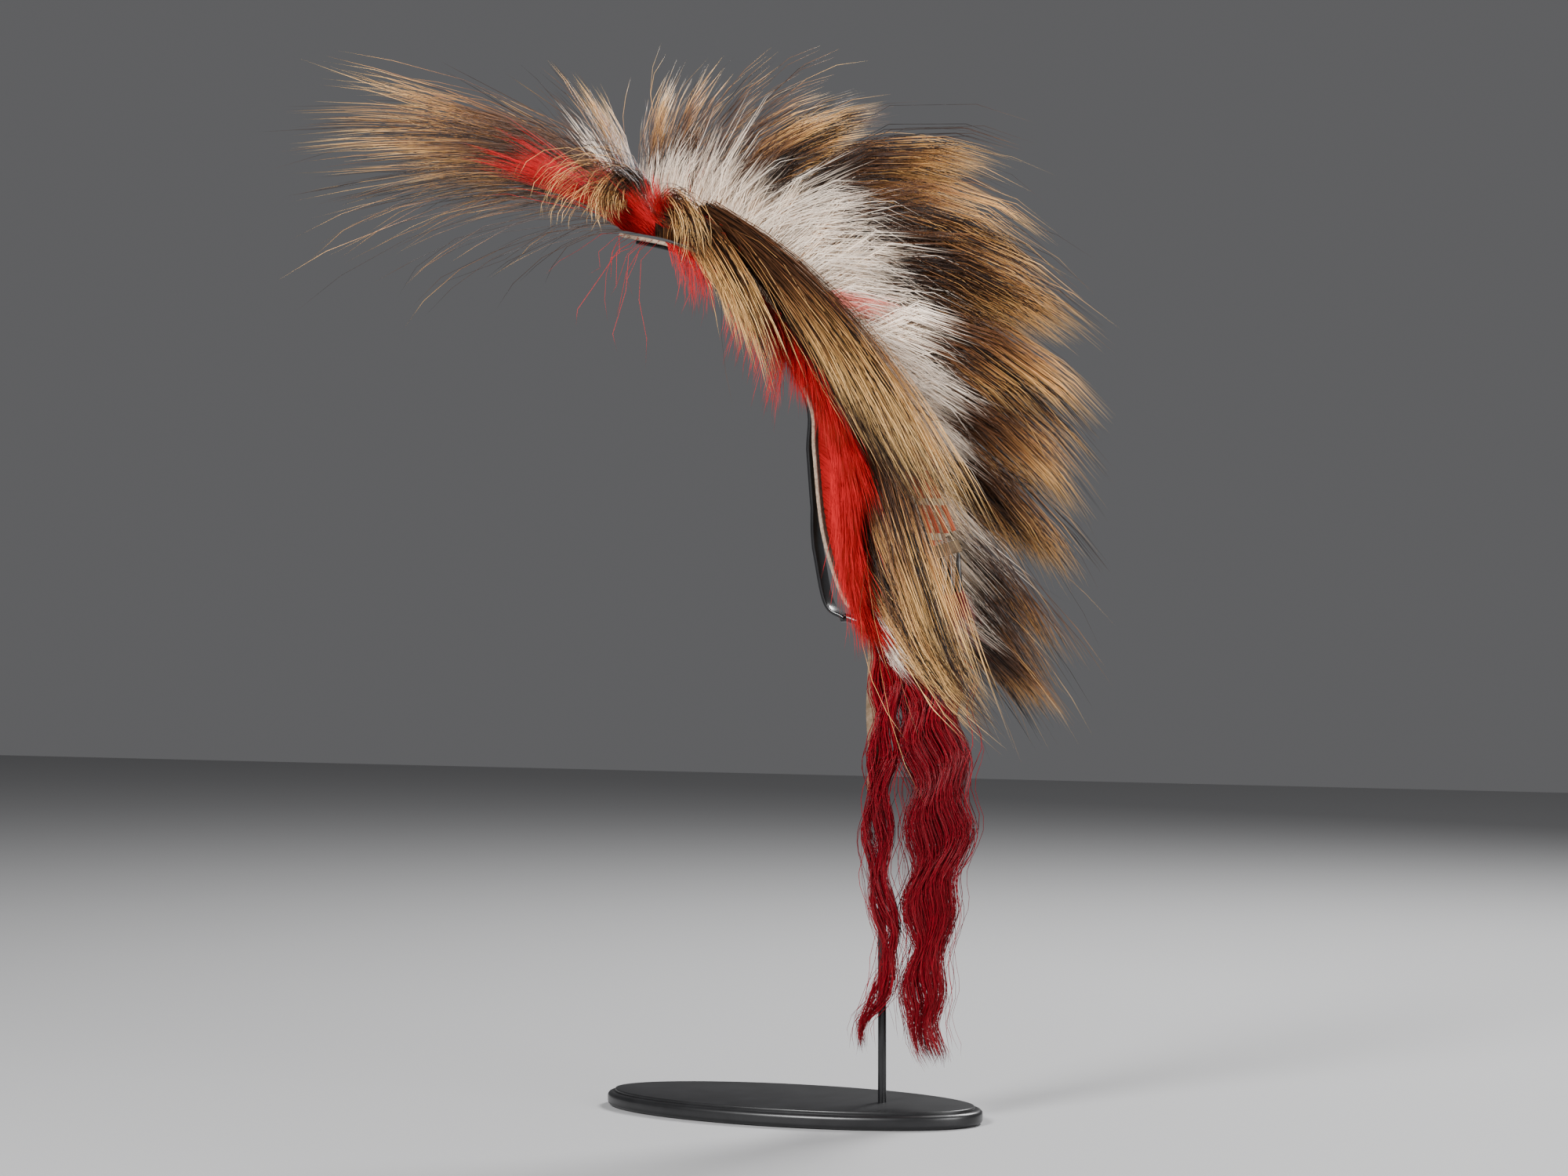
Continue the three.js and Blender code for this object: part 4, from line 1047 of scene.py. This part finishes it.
red_rows = {"shares": FIVE, "offset": RED_OFFSET, "length": (1.0, 0.09), "spread": (6, 8),
            "lock_pull": (0.1, 0.6), "tuft_pull": (0.1, 0.5), "wave": (1.3, 1.2)}
for name, guides, side, start, end, count, node in (
    ("Red hair near crown", NEAR_RED, NEAR_SIDE, 0.0, SPLIT, 2700, "red_hair_near_crown"),
    ("Red hair near back", NEAR_RED, NEAR_SIDE, SPLIT, 0.995, 3200, "red_hair_near_back"),
    ("Red hair far crown", FAR_RED, FAR_SIDE, 0.0, SPLIT, 1400, "red_hair_far_crown"),
    ("Red hair far back", FAR_RED, FAR_SIDE, SPLIT, 0.995, 1300, "red_hair_far_back"),
):
    groups = [(row_hair(guides, side, count, 24, start=start, end=end, **red_rows), 0.26, 0.4)]
    if name == "Red hair near crown":
        fringe = {**red_rows, "offset": 14.2, "depth": 0.8, "lift": 1.5, "short": (0.7, 0.4),
                  "spread": (12, 10)}
        thread = {**fringe, "wave": (7, 1.6), "spread": (14, 14), "locks_each": 1, "lock_pull": (0, 0.1)}
        for first, last, hairs in ((0.1, 0.2, 190), (0.26, 0.44, 150)):
            groups.append((row_hair(RED_FRINGE, side, hairs, 8, start=first, end=last, **fringe), 0.2, 0.4))
        groups.append((row_hair(RED_THREADS, side, 12, 12, start=0.0, end=0.09, **thread), 0.18, 0.6))
    place(name, strand_mesh(name, groups), red_hair, [node])


# Tail

def tail_strands(table, count, locks, depth, depth_spread, wave, rings=34, stray=0.08):
    """Strands that follow a lock's waving middle line, gathered in some smaller locks. depth is the
    lock's middle in Y, wave the size of the strands' waves, and stray the share of loose strands."""
    shares = np.linspace(0, 1, rings)
    bottom = table[-1][0]
    lock_place = np.linspace(-0.75, 0.75, locks)
    lock_depth = rng.uniform(-1, 1, locks)
    lock_phase = rng.uniform(-0.6, 0.6, locks) + lock_place * 1.5
    lock = rng.integers(0, locks, count)
    end = bottom * (1 - 0.28 * rng.random(count) ** 1.8)
    fall = shares[None] * end[:, None]
    middle, half = read_table(table, fall)
    loose = np.where(rng.random(count) < stray, 1.0, 0.0)[:, None]
    own = np.clip(rng.normal(0, 0.42, count), -1, 1)[:, None] * (1 + 1.2 * loose)
    close = 0.5 + 0.5 * np.sin(fall / bottom * 5 + lock_phase[lock][:, None]) ** 2
    place_in = lock_place[lock][:, None] + own * (0.22 + 0.3 * close)
    turn = fall / 8.4 + 0.9 * np.sin(fall / 61) + lock_phase[lock][:, None] + 0.7 * own
    start = np.minimum(1, fall / 50)
    x = ROD["offset"] + middle + half * place_in + wave * np.sin(turn) * start
    y = depth + depth_spread * 0.6 * (lock_depth[lock][:, None] + 0.8 * rng.normal(size=(count, 1)))
    y = y * np.minimum(1, 0.75 + fall / 80) + wave * np.cos(turn * 0.9) * start
    z = TAIL_TOP + rng.normal(size=(count, 1)) * 2 - fall
    paths = sway(np.stack([x, y, z], -1), shares, 1.9, 2.8)
    away = rng.normal(size=(count, 1, 3)) * [7, 5, 0]
    paths += (loose * np.minimum(1, fall / 120))[..., None] * away
    return paths, 1.0, lock * 11 + np.floor(own[:, 0] * 5).astype(int)


place("Tail main lock", strand_mesh("tail_main", [
    (tail_strands(TAIL_MAIN, 780, 7, 0, 11, 3.2, stray=0.14), 0.31, 0.5),
]), tail_hair, ["tail_main_lock"])
place("Tail side lock", strand_mesh("tail_side", [
    (tail_strands(TAIL_SIDE, 270, 3, -14.5, 4, 2.2, stray=0.14), 0.32, 0.5),
]), tail_hair, ["tail_side_lock"])


# Floor, light and camera

def stage_plane(name, size, z, colour):
    bpy.ops.mesh.primitive_plane_add(size=size, location=(0, 0, z))
    plane = bpy.context.object
    plane.name = name
    material, _, shader = new_material(name, 0.6, specular=0.2)
    shader.inputs["Base Color"].default_value = (*colour, 1)
    plane.data.materials.append(material)


stage_plane("Floor", 9, -0.0005, (0.36, 0.36, 0.365))

# In metres: the camera's distance from the board's centre, its place to the left and its height
CAMERA = {"lens": 82.8, "sensor": 36, "distance": 2.72, "left": 0.0059, "height": 0.396}
AZIMUTH = math.radians(25)
right = Vector((math.cos(AZIMUTH), math.sin(AZIMUTH), 0))
to_camera = Vector((math.sin(AZIMUTH), -math.cos(AZIMUTH), 0))


def area_light(name, across, away, height, size, power, target=(0, 0, 0.5)):
    data = bpy.data.lights.new(name, "AREA")
    data.shape = "DISK"
    data.size = size
    data.energy = power
    light = bpy.data.objects.new(name, data)
    light.location = right * across + to_camera * away + Vector((0, 0, height))
    light.rotation_euler = (Vector(target) - light.location).to_track_quat("-Z", "Y").to_euler()
    bpy.context.scene.collection.objects.link(light)


# Places to the right, towards the camera and up, then size and power
area_light("Key", -1.4, 2.0, 1.7, 0.9, 150)
area_light("Fill", 2.0, 1.6, 1.0, 1.4, 50)
area_light("Rim", 1.2, -1.3, 1.9, 0.9, 110)

world = bpy.data.worlds.new("Studio")
world.use_nodes = True
world.node_tree.nodes["Background"].inputs["Color"].default_value = (0.3, 0.3, 0.31, 1)
world.node_tree.nodes["Background"].inputs["Strength"].default_value = 0.4
bpy.context.scene.world = world

camera_data = bpy.data.cameras.new("Camera")
camera_data.lens = CAMERA["lens"]
camera_data.sensor_width = CAMERA["sensor"]
camera = bpy.data.objects.new("Camera", camera_data)
camera.location = to_camera * CAMERA["distance"] - right * CAMERA["left"]
camera.location.z = CAMERA["height"]
camera.rotation_euler = (-to_camera).to_track_quat("-Z", "Y").to_euler()
bpy.context.scene.collection.objects.link(camera)
bpy.context.scene.camera = camera
